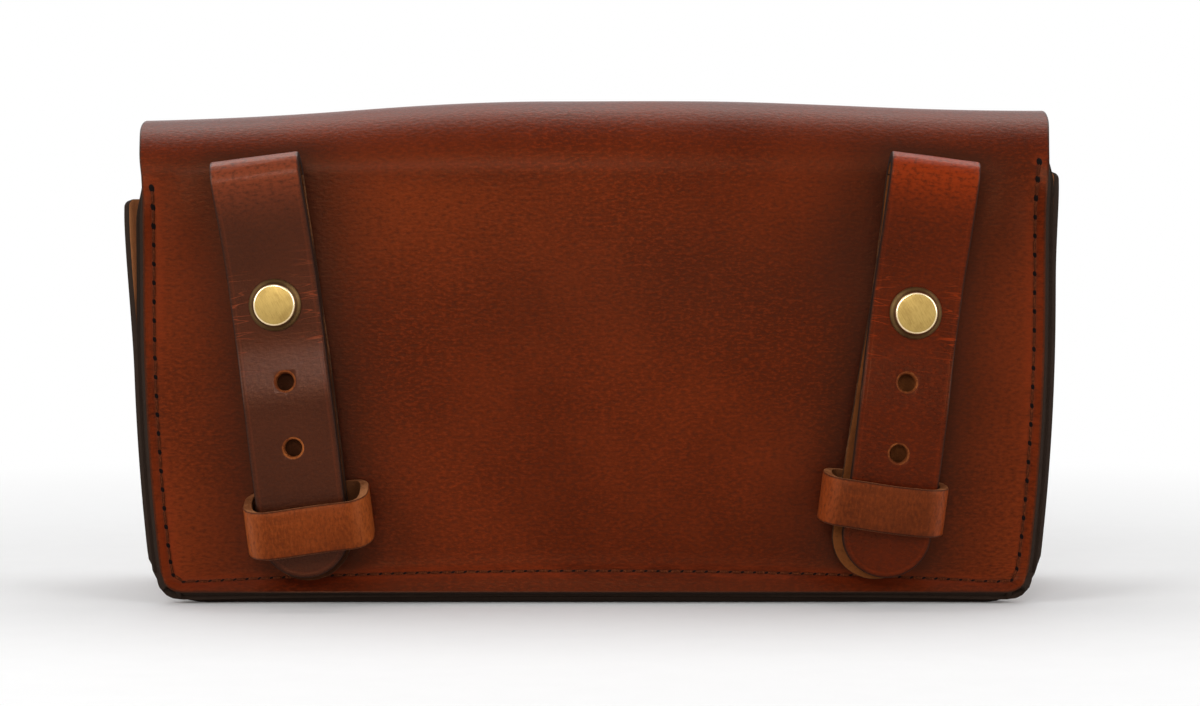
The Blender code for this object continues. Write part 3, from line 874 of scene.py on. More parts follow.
@dataclass
class Seam:
    """The sewn edge that the back, the gusset and the front share, with its turned-out margin."""

    half_width: float = 112.5 * MM
    taper: float = 4.8 * MM
    taper_height: float = 75 * MM
    corner: float = 4.8 * MM
    side_stitch: float = 2.4 * MM
    bottom_stitch: float = 3.4 * MM
    bottom_bow: float = 3.6 * MM
    bow_half: float = 98 * MM
    side_pitch: float = 4.7 * MM
    bottom_pitch: float = 3.0 * MM
    side_rise: float = 2.5 * MM
    bottom_rise: float = 2.9 * MM
    side_reach: float = 2.3
    bottom_reach: float = 2.0
    pull: float = 0.55 * MM
    pull_width: float = 1.7 * MM

    def half(self, height: float) -> float:
        """Returns half the width over the margins at a height, without the corners."""
        below = max(0.0, (self.taper_height - height) / self.taper_height)
        return self.half_width - self.taper * below ** 2

    def rim(self, x: float, height: float) -> float:
        """Measures in from the cut edge.

        Args:
            x: across the panel.
            height: up the panel.

        Returns:
            The distance to the cut edge.
        """
        side = self.half(height) - abs(x)
        if side < self.corner and height < self.corner:
            return self.corner - hypot(self.corner - side, self.corner - height)
        return min(side, height)

    def lowness(self, x: float, height: float) -> float:
        """Returns 0 beside a side seam and 1 above the bottom seam, turning at the corners."""
        side = self.half(height) - abs(x)
        return ease(atan2(max(side, 0.0) + 1e-9, max(height, 0.0) + 1e-9) / (pi / 2))

    def stitch_inset(self, x: float, height: float) -> float:
        """Returns how far in from the cut edge the stitches run."""
        bottom = self.bottom_stitch + self.bottom_bow * max(0.0, 1 - (x / self.bow_half) ** 2)
        return blend_numbers(self.lowness(x, height), self.side_stitch, bottom)

    def stitch(self, x: float, height: float) -> float:
        """Returns the distance from the stitch line."""
        return self.rim(x, height) - self.stitch_inset(x, height)

    def margin(self, x: float, height: float) -> float:
        """Works out how far the margin turns out of the panel, less where the thread pulls it in.

        Args:
            x: across the panel.
            height: up the panel.

        Returns:
            How far it stands out.
        """
        rim = max(0.0, self.rim(x, height))
        inset = self.stitch_inset(x, height)
        low = self.lowness(x, height)
        reach = inset * blend_numbers(low, self.side_reach, self.bottom_reach)
        rise = blend_numbers(low, self.side_rise, self.bottom_rise)
        turned = rise * max(0.0, 1 - rim / reach) ** 2
        return turned - self.pull * hump(rim, inset, self.pull_width)

    def run(self, top_left: float, top_right: float, inset: float, step: float) -> list[Vector]:
        """Lays points along a line inside the cut edge.

        Args:
            top_left: the height where it starts.
            top_right: the height where it ends.
            inset: how far in it runs.
            step: the distance between points.

        Returns:
            Points from the left top down, along the bottom and up the right.
        """
        radius = self.corner - inset
        low = self.half(0) - self.corner
        left_heights = [self.corner, *spread(self.corner, top_left, step), top_left]
        right_heights = [self.corner, *spread(self.corner, top_right, step), top_right]
        left = [Vector((-self.half(z) + inset, z)) for z in reversed(left_heights)]
        right = [Vector((self.half(z) - inset, z)) for z in right_heights]
        shift = self.half(self.corner) - self.half(0)
        turn = max(3, round(radius * pi / 2 / step))
        first = quarter((-low - shift / 2, self.corner), radius, 180, turn)
        last = quarter((low + shift / 2, self.corner), radius, 270, turn)
        floor = [Vector((x, inset)) for x in spread(-low, low, step)]
        return left[:-1] + first + floor + last + right[1:]

    def outline(self, top: float, step: float = 2 * MM) -> list[Vector]:
        """Returns the cut edge from the left top round to the right top."""
        return self.run(top, top, 0.0, step)


@dataclass
class Body:
    """The wrapped hide, the front panel, the gusset and their thread."""

    palette: Palette
    posts: Sequence[Vector]
    seam: Seam = field(default_factory=Seam)
    panel: float = 3.0 * MM
    stud_x: float = 62 * MM
    stud_height: float = 54 * MM
    stud_hole: float = 1.7 * MM
    stud_hole_steps: int = 20
    spring: float = 107 * MM
    bend_radius: float = 19 * MM
    front_top: float = 99 * MM
    flap_end: float = 38 * MM
    flap_corner: float = 20 * MM
    hinge_angle: float = pi / 3
    hinge_before: float = 5.2 * MM
    hinge_after: float = 4.6 * MM
    tuck: float = 3.4 * MM
    tuck_height: float = 14 * MM
    # How much of the top's rise is lost to each end, from how far out, and over how far.
    left_sag: tuple[float, float, float] = (0.27, 10 * MM, 112 * MM)
    right_sag: tuple[float, float, float] = (0.11, 30 * MM, 90 * MM)
    top_stretch: float = 1.07
    swell: float = 0.9 * MM
    flare: float = 2.4 * MM
    # Unevenness: the ripples of each hide, how far it settles in, and where a fastener holds it.
    wave: Ripple = Ripple(0.45 * MM, 17, 14, 3.1)
    slow_wave: Ripple = Ripple(0.5 * MM, 7, 6, 8.4)
    settle: float = 0.75 * MM
    front_wave: Ripple = Ripple(0.4 * MM, 12, 12, 21.0)
    front_settle: float = 0.5 * MM
    puff: Patch = Patch(0.8 * MM, 102.5 * MM, 4.5 * MM, 97 * MM, 10 * MM)
    calm_reach: float = 11 * MM
    # Painted shade in soft patches across the back, in its right top corner and beside the right strap, and
    # how much darker the back is along its bottom edge.
    darkness: tuple[Patch, ...] = (Patch(0.34, 34 * MM, 58 * MM, 80 * MM, 17 * MM),
                              Patch(0.5, 102 * MM, 8 * MM, 99 * MM, 18 * MM),
                              Patch(0.55, 65 * MM, 9 * MM, 92 * MM, 24 * MM))
    bottom_edge_darkening: float = 0.32
    # A patch of painted light at the back's top left.
    lit_top_patch: Patch = Patch(0.35, -45 * MM, 45 * MM, 100 * MM, 16 * MM)
    # The grid that each hide is divided into for bending.
    side_fine: float = 7 * MM
    side_band: float = 11 * MM
    low_fine: float = 10 * MM
    low_band: float = 16 * MM
    edge_step: float = 3 * MM
    back_grid: float = 3.2 * MM
    bend_grid: float = 1.2 * MM
    flap_grid: float = 2.6 * MM
    front_grid: float = 4 * MM
    gusset_grid: float = 2 * MM
    # The gusset: its strip, its turned-out flanges, its slack sides and its splayed tops.
    strip: float = 2.4 * MM
    strip_gap: float = 0.3 * MM
    flange: float = 6 * MM
    flange_step: float = 0.6 * MM
    flange_steps: int = 8
    gusset_corner: float = 9.5 * MM
    gusset_round: float = 1.6 * MM
    gusset_left: float = 101 * MM
    gusset_right: float = 108 * MM
    slack: float = 3.4 * MM
    splay_left: tuple[float, float] = (2.1 * MM, 44 * MM)
    splay_right: tuple[float, float] = (0.7 * MM, 26 * MM)
    seam_end: float = 6 * MM
    seam_fade: float = 14 * MM
    # The thread, and the slanted slits that it goes through, which are dark lenses of painted shade.
    thread_radius: float = 0.42 * MM
    side_slit: tuple[float, float] = (0.80 * MM, 0.56 * MM)
    bottom_slit: tuple[float, float] = (0.62 * MM, 0.30 * MM)
    slit_depth: float = 0.14 * MM
    slant: float = 0.35
    slant_change: float = 0.25
    strained: float = 1.35
    strained_count: int = 3
    sway: float = 0.18 * MM
    # How far along a stitch, and how far under the grain, each bend of the thread is.
    dips: tuple[tuple[float, float], ...] = ((0.0, -0.7 * MM), (0.15, -0.3 * MM), (0.34, -0.1 * MM),
                                             (0.66, -0.1 * MM), (0.85, -0.3 * MM))

    def __post_init__(self) -> None:
        """Reads the faces' places from the frame and works out the fasteners' flat places."""
        self.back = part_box("back_panel")[0].y
        self.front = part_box("front_panel")[1].y
        self.flap_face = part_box("flap")[1].y
        self.top_flat = self.flap_face - self.back - 2 * self.bend_radius
        self.quarter_bend = self.bend_radius * pi / 2
        self.length = 2 * self.spring + 2 * self.quarter_bend + self.top_flat - self.flap_end
        stud = self.length + self.flap_end - self.stud_height
        self.post_places = [(post.x, post.z) for post in self.posts]
        self.flap_places = [(-self.stud_x, stud), (self.stud_x, stud)]
        self.front_places = [(-self.stud_x, self.stud_height), (self.stud_x, self.stud_height)]

    def profile(self, along: float) -> tuple[Vector, Vector]:
        """Follows the wrapped hide's section.

        Args:
            along: the length up from its bottom edge.

        Returns:
            The (y, z) place and the outward normal there.
        """
        radius = self.bend_radius
        rear = Vector((self.back + radius, self.spring))
        front = along - self.spring - self.quarter_bend - self.top_flat
        if along <= self.spring:
            return Vector((self.back, along)), Vector((-1, 0))
        if along <= self.spring + self.quarter_bend:
            angle = (along - self.spring) / radius
            normal = Vector((-cos(angle), sin(angle)))
            return rear + normal * radius, normal
        if front <= 0:
            return Vector((self.flap_face - radius + front, self.spring + radius)), Vector((0, 1))
        if front <= self.quarter_bend:
            angle = front / radius
            normal = Vector((sin(angle), cos(angle)))
            return Vector((self.flap_face - radius, self.spring)) + normal * radius, normal
        return Vector((self.flap_face, self.spring - front + self.quarter_bend)), Vector((1, 0))

    def gusset_top(self, x: float) -> float:
        """Returns the height of the gusset's end on a place's side."""
        return self.gusset_right if x > 0 else self.gusset_left

    def seam_share(self, x: float, along: float) -> float:
        """Returns 1 where the side margin is sewn and 0 above the gusset."""
        return 1 - ease((along - self.gusset_top(x) + self.seam_end) / self.seam_fade)

    def sag(self, x: float) -> float:
        """Returns the share of the top's rise that is lost towards the ends."""
        most, start, over = self.left_sag if x < 0 else self.right_sag
        return most * ease((abs(x) - start) / over)

    def stand(self, height: float) -> float:
        """Returns a height on the body, lifted near the bottom so that the seam's lowest edge rests."""
        return height + self.tuck * (1 - ease((height + self.tuck) / (self.tuck_height + self.tuck)))

    def calm(self, places: Sequence[tuple[float, float]], x: float, along: float) -> float:
        """Says how far a hide is free of its fasteners, which hold it to its true line.

        Args:
            places: the fasteners on the flat hide.
            x: across the hide.
            along: along the hide.

        Returns:
            0 at a fastener and 1 away from all of them.
        """
        share = 1.0
        for place in places:
            share *= 1 - hump(hypot(x - place[0], along - place[1]), 0, self.calm_reach)
        return share

    def uneven(self, x: float, along: float) -> float:
        """Works out the wrapped hide's unevenness, puffed beside its top stitches.

        Args:
            x: across the hide.
            along: along the hide.

        Returns:
            How far it stands out of its true line.
        """
        out = self.wave.at(x, along) + self.slow_wave.at(x, along) - self.settle
        out += self.puff.at(abs(x), along)
        return out * self.calm(self.post_places + self.flap_places, x, along)

    def front_uneven(self, x: float, height: float) -> float:
        """Returns how far the front panel stands out of its true line."""
        out = self.front_wave.at(x, height) - self.front_settle
        return out * self.calm(self.front_places, x, height)

    def shade_and_bottom_darkening(self, x: float, along: float) -> float:
        """Returns how much shade is painted in soft patches on the back, and how much darker it is along its
        bottom edge.
        """
        low = self.bottom_edge_darkening * hump(along, 1 * MM, 5 * MM)
        return low + sum(patch.at(x, along) for patch in self.darkness)

    def painted_light(self, x: float, along: float) -> float:
        """Works out how much painted light warms and lightens the back, along its side seams, most towards
        its lower corners, and in a patch at its top left.

        Args:
            x: across the hide.
            along: along the hide.

        Returns:
            0 for none, and 1 for the full lighter colour.
        """
        if along > self.spring:
            return 0.0
        side = exp(-max(0.0, self.seam.half(along) - abs(x)) / (15 * MM))
        low = ease(1 - along / (60 * MM))
        return 0.75 * side * (0.45 + 0.55 * low) + self.lit_top_patch.at(x, along)

    def widening(self, x: float, along: float) -> float:
        """Works out how much the hide's ends are stretched across, over the top bend and on the flap.

        Args:
            x: across the hide.
            along: along the hide.

        Returns:
            The stretch, which is 1 for none.
        """
        bulge = self.swell * hump(along, self.spring + 4 * MM, 8 * MM)
        bulge += self.flare * ease((along - self.spring) / (22 * MM))
        return 1 + bulge / self.seam.half_width * ease((abs(x) - 70 * MM) / (40 * MM))

    def wrap(self, x: float, along: float) -> Vector:
        """Lays the wrapped hide, sagging to its ends, pulled in at the thread and uneven.

        Args:
            x: across the flat hide.
            along: along the flat hide from its bottom edge.

        Returns:
            The place of its grain.
        """
        point, normal = self.profile(along)
        out = self.uneven(x, along)
        if along < self.spring + 10 * MM:
            out += self.seam.margin(x, along) * self.seam_share(x, along)
        point = point + normal * out
        if point.y > self.spring:
            point.y = self.spring + (point.y - self.spring) * (self.top_stretch - self.sag(x))
        return Vector((x * self.widening(x, along), point.x, self.stand(point.y)))

    def flap_rim(self, x: float, along: float) -> float:
        """Measures in from the wrapped hide's cut edge, flap included.

        Args:
            x: across the hide.
            along: along the hide.

        Returns:
            The distance to the cut edge.
        """
        if along < self.spring:
            return self.seam.rim(x, along)
        side = self.seam.half_width - abs(x)
        end = self.length - along
        if side < self.flap_corner and end < self.flap_corner:
            return self.flap_corner - hypot(self.flap_corner - side, self.flap_corner - end)
        return min(side, end)

    def hide_stitch(self, x: float, along: float) -> float:
        """Returns the distance from the stitches on the back, far away on the flap."""
        beyond = max(0.0, along - self.gusset_top(x) - 4 * MM)
        return hypot(self.seam.stitch(x, along), beyond) if along < self.spring + 12 * MM else 1.0

    @staticmethod
    def seam_lines(fine_to: float, end: float) -> list[float]:
        """Returns distances in from a cut edge, close together where the stitches run."""
        return [*spread(0, fine_to, 0.55 * MM), fine_to, *spread(fine_to, end, 0.9 * MM), end]

    def lines_across(self, gap: float) -> list[float]:
        """Divides a panel across its width, finely beside its side seams.

        Args:
            gap: between the lines elsewhere.

        Returns:
            The places across of the lines.
        """
        half = self.seam.half_width
        edge = [half - inset for inset in self.seam_lines(self.side_fine, self.side_band)]
        return [*edge, *(-x for x in edge), *spread(-half + self.side_band, half - self.side_band, gap)]

    def lines_up(self, top: float, gap: float) -> list[float]:
        """Returns the heights of the lines that divide a panel, finely along its bottom seam."""
        return [*self.seam_lines(self.low_fine, self.low_band), *spread(self.low_band, top, gap)]

    def panel_finishes(self) -> tuple[bpy.types.Material, ...]:
        """Returns the finishes of the wrapped hide and the front panel."""
        return self.palette.hide, self.palette.edge, self.palette.flesh, self.palette.punched

    def stud_holes(self, places: Sequence[tuple[float, float]]) -> list[list[Vector]]:
        """Returns the outlines of the press studs' holes."""
        return [ring(place, self.stud_hole, self.stud_hole_steps) for place in places]

    def make_wrap(self, shade: Reading) -> None:
        """Makes the one hide that is back, top and flap, bent over the top.

        Args:
            shade: how much shade is painted at a place on the flat hide, with the darkening along its bottom
                edge.
        """
        half = self.seam.half_width
        inner = half - self.flap_corner
        end = self.length - self.flap_corner
        sides = spread(self.spring, end, self.edge_step)
        right = [Vector((half, along)) for along in sides]
        left = [Vector((-half, along)) for along in reversed(sides)]
        outline = self.seam.outline(self.spring) + right + quarter((inner, end), self.flap_corner, 0, 12)
        outline += quarter((-inner, end), self.flap_corner, 90, 12) + left
        bent = self.spring + self.quarter_bend
        along_lines = [*self.lines_up(self.spring, self.back_grid),
                       *spread(self.spring - 1 * MM, bent, self.bend_grid),
                       *spread(bent, self.length, self.flap_grid)]
        holes = [ring(place, POST_HOLE) for place in self.post_places] + self.stud_holes(self.flap_places)
        hide = Hide("hide_wrap", outline, self.panel, holes,
                    across_lines=self.lines_across(self.back_grid), along_lines=along_lines)
        mesh = hide.bend(self.wrap, {"rim": self.flap_rim, "stitch": self.hide_stitch, "darkening_and_creases": shade,
                                     "rub_and_light": self.painted_light})
        piece = show(mesh, self.panel_finishes())
        hinge = Vector((0, *self.profile(self.spring + self.bend_radius * self.hinge_angle)[0]))
        run = Vector((0, sin(self.hinge_angle), cos(self.hinge_angle)))
        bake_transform(piece)
        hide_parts("back_panel", "flap")

    def front_face(self, x: float, height: float) -> Vector:
        """Returns the front panel's grain."""
        out = self.seam.margin(x, height) + self.front_uneven(x, height)
        return Vector((x, self.front + out, self.stand(height)))

    def front_rim(self, x: float, height: float) -> float:
        """Returns the distance in from the front panel's cut edge."""
        return min(self.seam.rim(x, height), self.front_top - height)

    def make_front(self) -> None:
        """Makes the front panel under the flap."""
        hide = Hide("front_panel_hide", self.seam.outline(self.front_top), self.panel,
                    self.stud_holes(self.front_places), across_lines=self.lines_across(self.front_grid),
                    along_lines=self.lines_up(self.front_top, self.front_grid), flip=True)
        mesh = hide.bend(self.front_face, {"rim": self.front_rim, "stitch": self.seam.stitch})
        piece = show(mesh, self.panel_finishes())
        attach(piece, "bag")
        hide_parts("front_panel")

    def flange_line(self, face: float, facing: float, depth: float) -> list[Vector]:
        """Lays out a turned-out flange, from its cut edge inwards.

        Args:
            face: the y of the panel that it is sewn to.
            facing: -1 at the back and 1 at the front.
            depth: how far under the panel's grain it lies.

        Returns:
            (y, inset) points on the flange's grain.
        """
        points = []
        ahead_by = 0.1 * MM
        for inset in (i * self.flange_step for i in range(1, self.flange_steps + 1)):
            here = self.seam.margin(self.seam.half_width - inset, self.seam.taper_height)
            ahead = self.seam.margin(self.seam.half_width - inset - ahead_by, self.seam.taper_height)
            slope = Vector((facing * (ahead - here), ahead_by)).normalized()
            normal = Vector((-facing * slope.y, facing * slope.x))
            points.append(Vector((face + facing * here, inset)) + normal * depth)
        return points

    def section(self) -> list[Vector]:
        """Lays out the gusset's section, with a small turn between each flange and the web.

        Returns:
            (y, inset) points from its back edge to its front edge.
        """
        depth = self.panel + self.strip_gap + self.strip
        start, stop = self.back + depth, self.front - depth
        round_off, short = 1.2 * MM, 0.35 * MM
        near, far = start + round_off, stop - round_off
        web = [Vector((y, self.flange)) for y in [near, *spread(near, far, 3 * MM), far]]
        rear_turn = Vector((start + short, self.flange - short))
        fore_turn = Vector((stop - short, self.flange - short))
        fore = self.flange_line(self.front, 1, depth)
        return [*self.flange_line(self.back, -1, depth), rear_turn, *web, fore_turn, *reversed(fore)]

    def gusset_slack(self, y: float, height: float) -> float:
        """Works out how far the middle of the gusset's side falls in.

        Args:
            y: across the gusset, from back to front.
            height: up the bag.

        Returns:
            The distance.
        """
        share = (y - self.back - 6 * MM) / (self.front - self.back - 12 * MM)
        middle = sin(pi * min(1.0, max(0.0, share)))
        return self.slack * middle ** 2 * ease((height - 28 * MM) / (50 * MM))

    def follow(self, section: Vector, edge: Vector) -> float:
        """Moves the gusset's flanges with the panels that they are sewn to.

        Args:
            section: the place on the gusset's section.
            edge: the place on the seam.

        Returns:
            The moved y.
        """
        rear = 1 - ease((section.x - self.back - 7 * MM) / (10 * MM))
        fore = 1 - ease((self.front - section.x - 7 * MM) / (10 * MM))
        inside = self.seam.half_width - max(0.0, section.y)
        unsewn = 1 - self.seam_share(edge.x, edge.y)
        lost = unsewn * self.seam.margin(inside, self.seam.taper_height)
        y = section.x + rear * (lost - self.uneven(edge.x, edge.y))
        return y + fore * self.front_uneven(edge.x, edge.y)

    def make_gusset(self) -> None:
        """Makes the strip round the sides and the bottom, swept along the seam."""
        line = self.section()
        lengths = lengths_to(line)
        path = Seam(corner=self.gusset_corner).run(self.gusset_left, self.gusset_right, 0.0, self.gusset_grid)
        reach = lengths_to(path)
        width, length = lengths[-1], reach[-1]
        run_step = 1.5 * MM

        def surface(across: float, along: float) -> Vector:
            """Sweeps the section along the seam.

            Args:
                across: the flat strip, from its back edge.
                along: the flat strip, from its left end.

            Returns:
                The place of the grain.
            """
            section = between(line, lengths, across)
            edge = between(path, reach, along)
            run = between(path, reach, along + run_step) - between(path, reach, along - run_step)
            out = Vector((run.y, -run.x)).normalized()
            most, over = self.splay_left if along < length / 2 else self.splay_right
            splay = most * ease(1 - min(along, length - along) / over) * (1 - ease(section.y / (5 * MM)))
            inset = section.y + self.gusset_slack(section.x, edge.y) - splay
            return Vector((edge.x - out.x * inset, self.follow(section, edge),
                           self.stand(edge.y - out.y * inset)))

        def rim(across: float, along: float) -> float:
            """Returns the distance in from the strip's cut edge."""
            return min(across, width - across, along, length - along)

        def dyed(across: float, along: float) -> float:
            """Returns how far the edge's dye has run over the flesh side, below the splayed tops."""
            low = ease((along - 20 * MM) / (14 * MM)) * ease((length - along - 2 * MM) / (10 * MM))
            return low * (1 - ease((min(across, width - across) - 2.6 * MM) / (1.5 * MM)))

        turn = self.gusset_round
        sides = spread(turn, length - turn, self.gusset_grid)
        ends = spread(turn, width - turn, self.gusset_grid)
        outline = [Vector((0, along)) for along in reversed(sides)] + quarter((turn, turn), turn, 180)
        outline += [Vector((across, 0)) for across in ends] + quarter((width - turn, turn), turn, 270)
        outline += [Vector((width, along)) for along in sides]
        outline += quarter((width - turn, length - turn), turn, 0)
        outline += [Vector((across, length)) for across in reversed(ends)]
        outline += quarter((turn, length - turn), turn, 90)
        hide = Hide("gusset_strip", outline, self.strip, across_lines=lengths[1:-1],
                    along_lines=spread(0, length, self.gusset_grid))
        mesh = hide.bend(surface, {"rim": rim, "darkening_and_creases": dyed})
        finishes = (self.palette.gusset, self.palette.edge, self.palette.gusset_flesh)
        piece = show(mesh, finishes)
        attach(piece, "bag")
        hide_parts("gusset")

    def stitch_places(self, top_left: float, top_right: float) -> list[Vector]:
        """Spaces the stitch holes, closer together along the bottom.

        Args:
            top_left: the height of the first.
            top_right: the height of the last.

        Returns:
            Their flat places.
        """
        fine = []
        for point in self.seam.run(top_left, top_right, 3 * MM, 0.5 * MM):
            short = self.seam.stitch(point.x, point.y)
            low = self.seam.lowness(point.x, point.y)
            inward = Vector((-point.x / abs(point.x) * (1 - low) if point.x else 0.0, low))
            fine.append(point - inward * short)
        counts = [0.0]
        for near, far in zip(fine, fine[1:]):
            low = self.seam.lowness(near.x, near.y)
            pitch = blend_numbers(low, self.seam.side_pitch, self.seam.bottom_pitch)
            counts.append(counts[-1] + (far - near).length / pitch)
        count = round(counts[-1])
        return [between(fine, counts, counts[-1] * i / count) for i in range(count + 1)]

    def prick(self, holes: bmesh.types.BMesh, frame: Matrix, places: list[Vector], index: int) -> None:
        """Pricks one slanted slit, strained open near the seam's ends: a dark lens of painted shade in place
        of the hole's shaded opening.

        Args:
            holes: the seam's slits so far.
            frame: the panel's frame at the slit.
            places: every slit of the seam, flat.
            index: which slit.
        """
        place = places[index]
        ahead = places[min(index + 1, len(places) - 1)] - places[max(index - 1, 0)]
        change = self.slant_change * noise.noise(Vector((index * 1.7, 4.0, 0.5)))
        turn = atan2(ahead.y, ahead.x) + self.slant + change
        low = self.seam.lowness(place.x, place.y)
        end = min(index, len(places) - 1 - index)
        size = Vector(self.side_slit).lerp(Vector(self.bottom_slit), low)
        size *= self.strained if end < self.strained_count else 1.0
        shape = Matrix.Diagonal((*size, self.slit_depth, 1))
        bmesh.ops.create_uvsphere(holes, u_segments=12, v_segments=4, radius=1.0,
                                  matrix=frame @ Matrix.Rotation(turn, 4, "Z") @ shape)

    def draw_thread(self, name: str, points: Sequence[Vector]) -> bpy.types.Mesh:
        """Draws a round thread through points.

        Args:
            name: of the seam.
            points: in order.

        Returns:
            The thread, with closed ends.
        """
        curve = bpy.data.curves.new(f"{name}_line", "CURVE")
        curve.dimensions = "3D"
        curve.bevel_depth = self.thread_radius
        curve.bevel_resolution = 2
        curve.use_fill_caps = True
        spline = curve.splines.new("POLY")
        spline.points.add(len(points) - 1)
        for knot, point in zip(spline.points, points):
            knot.co = (*point, 1.0)
        drawn = bpy.data.objects.new(f"{name}_line", curve)
        mesh = bpy.data.meshes.new_from_object(drawn)
        bpy.data.objects.remove(drawn)
        mesh.name = f"{name}_thread"
        mesh.materials.clear()
        mesh.shade_smooth()
        return mesh

    def sew(self, name: str, surface: Surface, side: int, tops: tuple[float, float]) -> None:
        """Sews one panel's seam: a thread that dips into a slanted hole at each stitch.

        Args:
            name: of the seam.
            surface: the panel's grain.
            side: 1 where the surface's own normal points out, or -1.
            tops: the heights of the first and the last stitch.
        """
        places = self.stitch_places(*tops)
        points: list[Vector] = []
        holes = bmesh.new()
        for index, place in enumerate(places):
            self.prick(holes, surface_frame(surface, place, side), places, index)
            for share, rise in self.dips if index else ():
                spot = surface_frame(surface, places[index - 1].lerp(place, share), side)
                sway = self.sway * noise.noise(Vector((index * 0.9 + share, 1.0, 7.0)))
                points.append(spot @ Vector((sway, sway, rise)))
        thread = show(self.draw_thread(name, points), (self.palette.thread,))
        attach(thread, "bag")
        bmesh.ops.recalc_face_normals(holes, faces=holes.faces[:])
        pricks = show(as_mesh(holes, f"{name}_holes"), (self.palette.hole,))
        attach(pricks, "bag")

    def build(self, shade: Reading) -> None:
        """Makes the whole body.

        Args:
            shade: how much shade is painted at a place on the back, with the darkening along its bottom edge.
        """
        self.make_wrap(shade)
        self.make_front()
        self.make_gusset()
        self.sew("back_seam", self.wrap, 1, (self.gusset_left + 3 * MM, self.gusset_right + 3 * MM))
        self.sew("front_seam", self.front_face, -1, (self.front_top - 6 * MM, self.front_top - 6 * MM))


# Rear straps


@dataclass
class Strap:
    """One rear strap: under leaf, loop, upper leaf, its keeper and its post.

    Lengths along the strap run from the post on the under leaf, up over the loop and down the upper leaf.
    """

    palette: Palette
    side: Side
    post: Vector
    tilt: float
    skew: float
    pitches: tuple[float, float]
    tip: float
    keeper_drop: float
    keeper_play: float
    keeper_sag: float
    keeper_shift: float
    top: float
    seed: float
    width: float = 22 * MM
    thickness: float = 2.8 * MM
    fold: float = 3.0 * MM
    leaf_gap: float = 0.4 * MM
    seat: float = 0.3 * MM
    overhang: float = 1.0 * MM
    hole: float = 2.2 * MM
    flare_from: float = 6.3 * MM
    sway: float = 0.5 * MM
    warp: float = 0.012
    lift: tuple[float, float] = (7 * MM, 26 * MM)
    under_grid: float = 1.6 * MM
    upper_grid: float = 1.1 * MM
    upper_round: float = 0.55 * MM
    loop_before: float = 3.2 * MM
    loop_after: float = 4.0 * MM
    keeper_wall: float = 2.2 * MM
    keeper_height: float = 12 * MM
    keeper_side_play: float = 2.4 * MM
    keeper_corner: float = 4.2 * MM
    keeper_front_corner: float = 6.2 * MM
    keeper_belly: float = 0.55 * MM
    keeper_wave: float = 0.5 * MM
    keeper_joint: float = 0.04 * MM
    cap_radius: float = 6.5 * MM
    barrel: float = 2.3 * MM
    bore: float = 1.45 * MM
    bore_end: float = -1.1 * MM

    def __post_init__(self) -> None:
        """Works out the strap's line from its sizes."""
        self.word = self.side.value
        self.fold_mid = self.fold + self.thickness / 2
        self.fold_z = self.top - self.fold - self.thickness
        self.base_at_post = self.seat + self.thickness / 2
        self.base_at_keeper = 2 * self.seat + self.keeper_wall + self.thickness / 2
        self.leaf_at_post = self.base_at_post + self.thickness + self.leaf_gap
        self.leaf_at_fold = self.base_at_post + 2 * self.fold_mid
        self.leaf_post = 2 * self.fold_z + pi * self.fold_mid
        self.frame = Matrix.Translation(self.post) @ Matrix.Rotation(self.tilt, 4, "Y")

    def base_off(self, height: float) -> float:
        """Returns how far the under leaf's middle stands off the bag."""
        share = ease((-height - self.lift[0]) / (self.lift[1] - self.lift[0]))
        return blend_numbers(share, self.base_at_post, self.base_at_keeper)

    def leaf_off(self, height: float) -> float:
        """Works out how far the upper leaf's middle stands off the bag.

        Args:
            height: above the post.

        Returns:
            The distance.
        """
        flare = ease((height - self.flare_from) / (self.fold_z - self.flare_from))
        over = self.thickness + self.leaf_gap
        return self.base_off(height) + over + (self.leaf_at_fold - self.leaf_at_post) * flare

    def line(self, along: float) -> Vector:
        """Follows the strap's middle.

        Args:
            along: the length along the strap.

        Returns:
            How far off the bag, and how high above the post.
        """
        arc = along - self.fold_z
        length = pi * self.fold_mid
        if arc <= 0:
            return Vector((self.base_off(along), along))
        if arc <= length:
            angle = arc / self.fold_mid
            middle = Vector((self.base_at_post + self.fold_mid, self.fold_z))
            return middle + self.fold_mid * Vector((-cos(angle), sin(angle)))
        height = self.fold_z - (arc - length)
        return Vector((self.leaf_off(height), height))

    def surface(self, across: float, along: float) -> Vector:
        """Lays the strap's grain, which is outside the loop.

        Args:
            across: the strap, from its middle.
            along: the length along the strap.

        Returns:
            The place on the bag.
        """
        point = self.line(along)
        run = self.line(along + SLOPE_STEP) - self.line(along - SLOPE_STEP)
        point = point + Vector((-run.y, run.x)).normalized() * (self.thickness / 2)
        shift = self.skew * max(0.0, -along / self.tip)
        from_post = abs(along - self.leaf_post)
        sway = self.sway * noise.noise(Vector((along * 30, self.seed, 2.0)))
        shift += sway * ease((from_post - 8 * MM) / (20 * MM))
        warp = 1 + self.warp * noise.noise(Vector((along * 45, self.seed, 9.0)))
        return self.frame @ Vector((across * warp + shift, -point.x, point.y))

    def tongue(self, start: float, end: float) -> list[Vector]:
        """Draws a leaf.

        Args:
            start: where its round tip is along the strap.
            end: where its square cut is.

        Returns:
            The flat outline.
        """
        half = self.width / 2
        way = 1 if end > start else -1
        centre = start + way * half
        tip = []
        tip_steps = 24
        for step in range(tip_steps + 1):
            angle = pi * step / tip_steps
            tip.append(Vector((half * cos(angle), centre - way * half * sin(angle))))
        sides = spread(min(centre, end), max(centre, end), 2 * MM)
        sides = sides if way > 0 else sides[::-1]
        left = [Vector((-half, along)) for along in sides]
        right = [Vector((half, along)) for along in reversed(sides)]
        return tip + left + [Vector((-half, end)), Vector((half, end))] + right

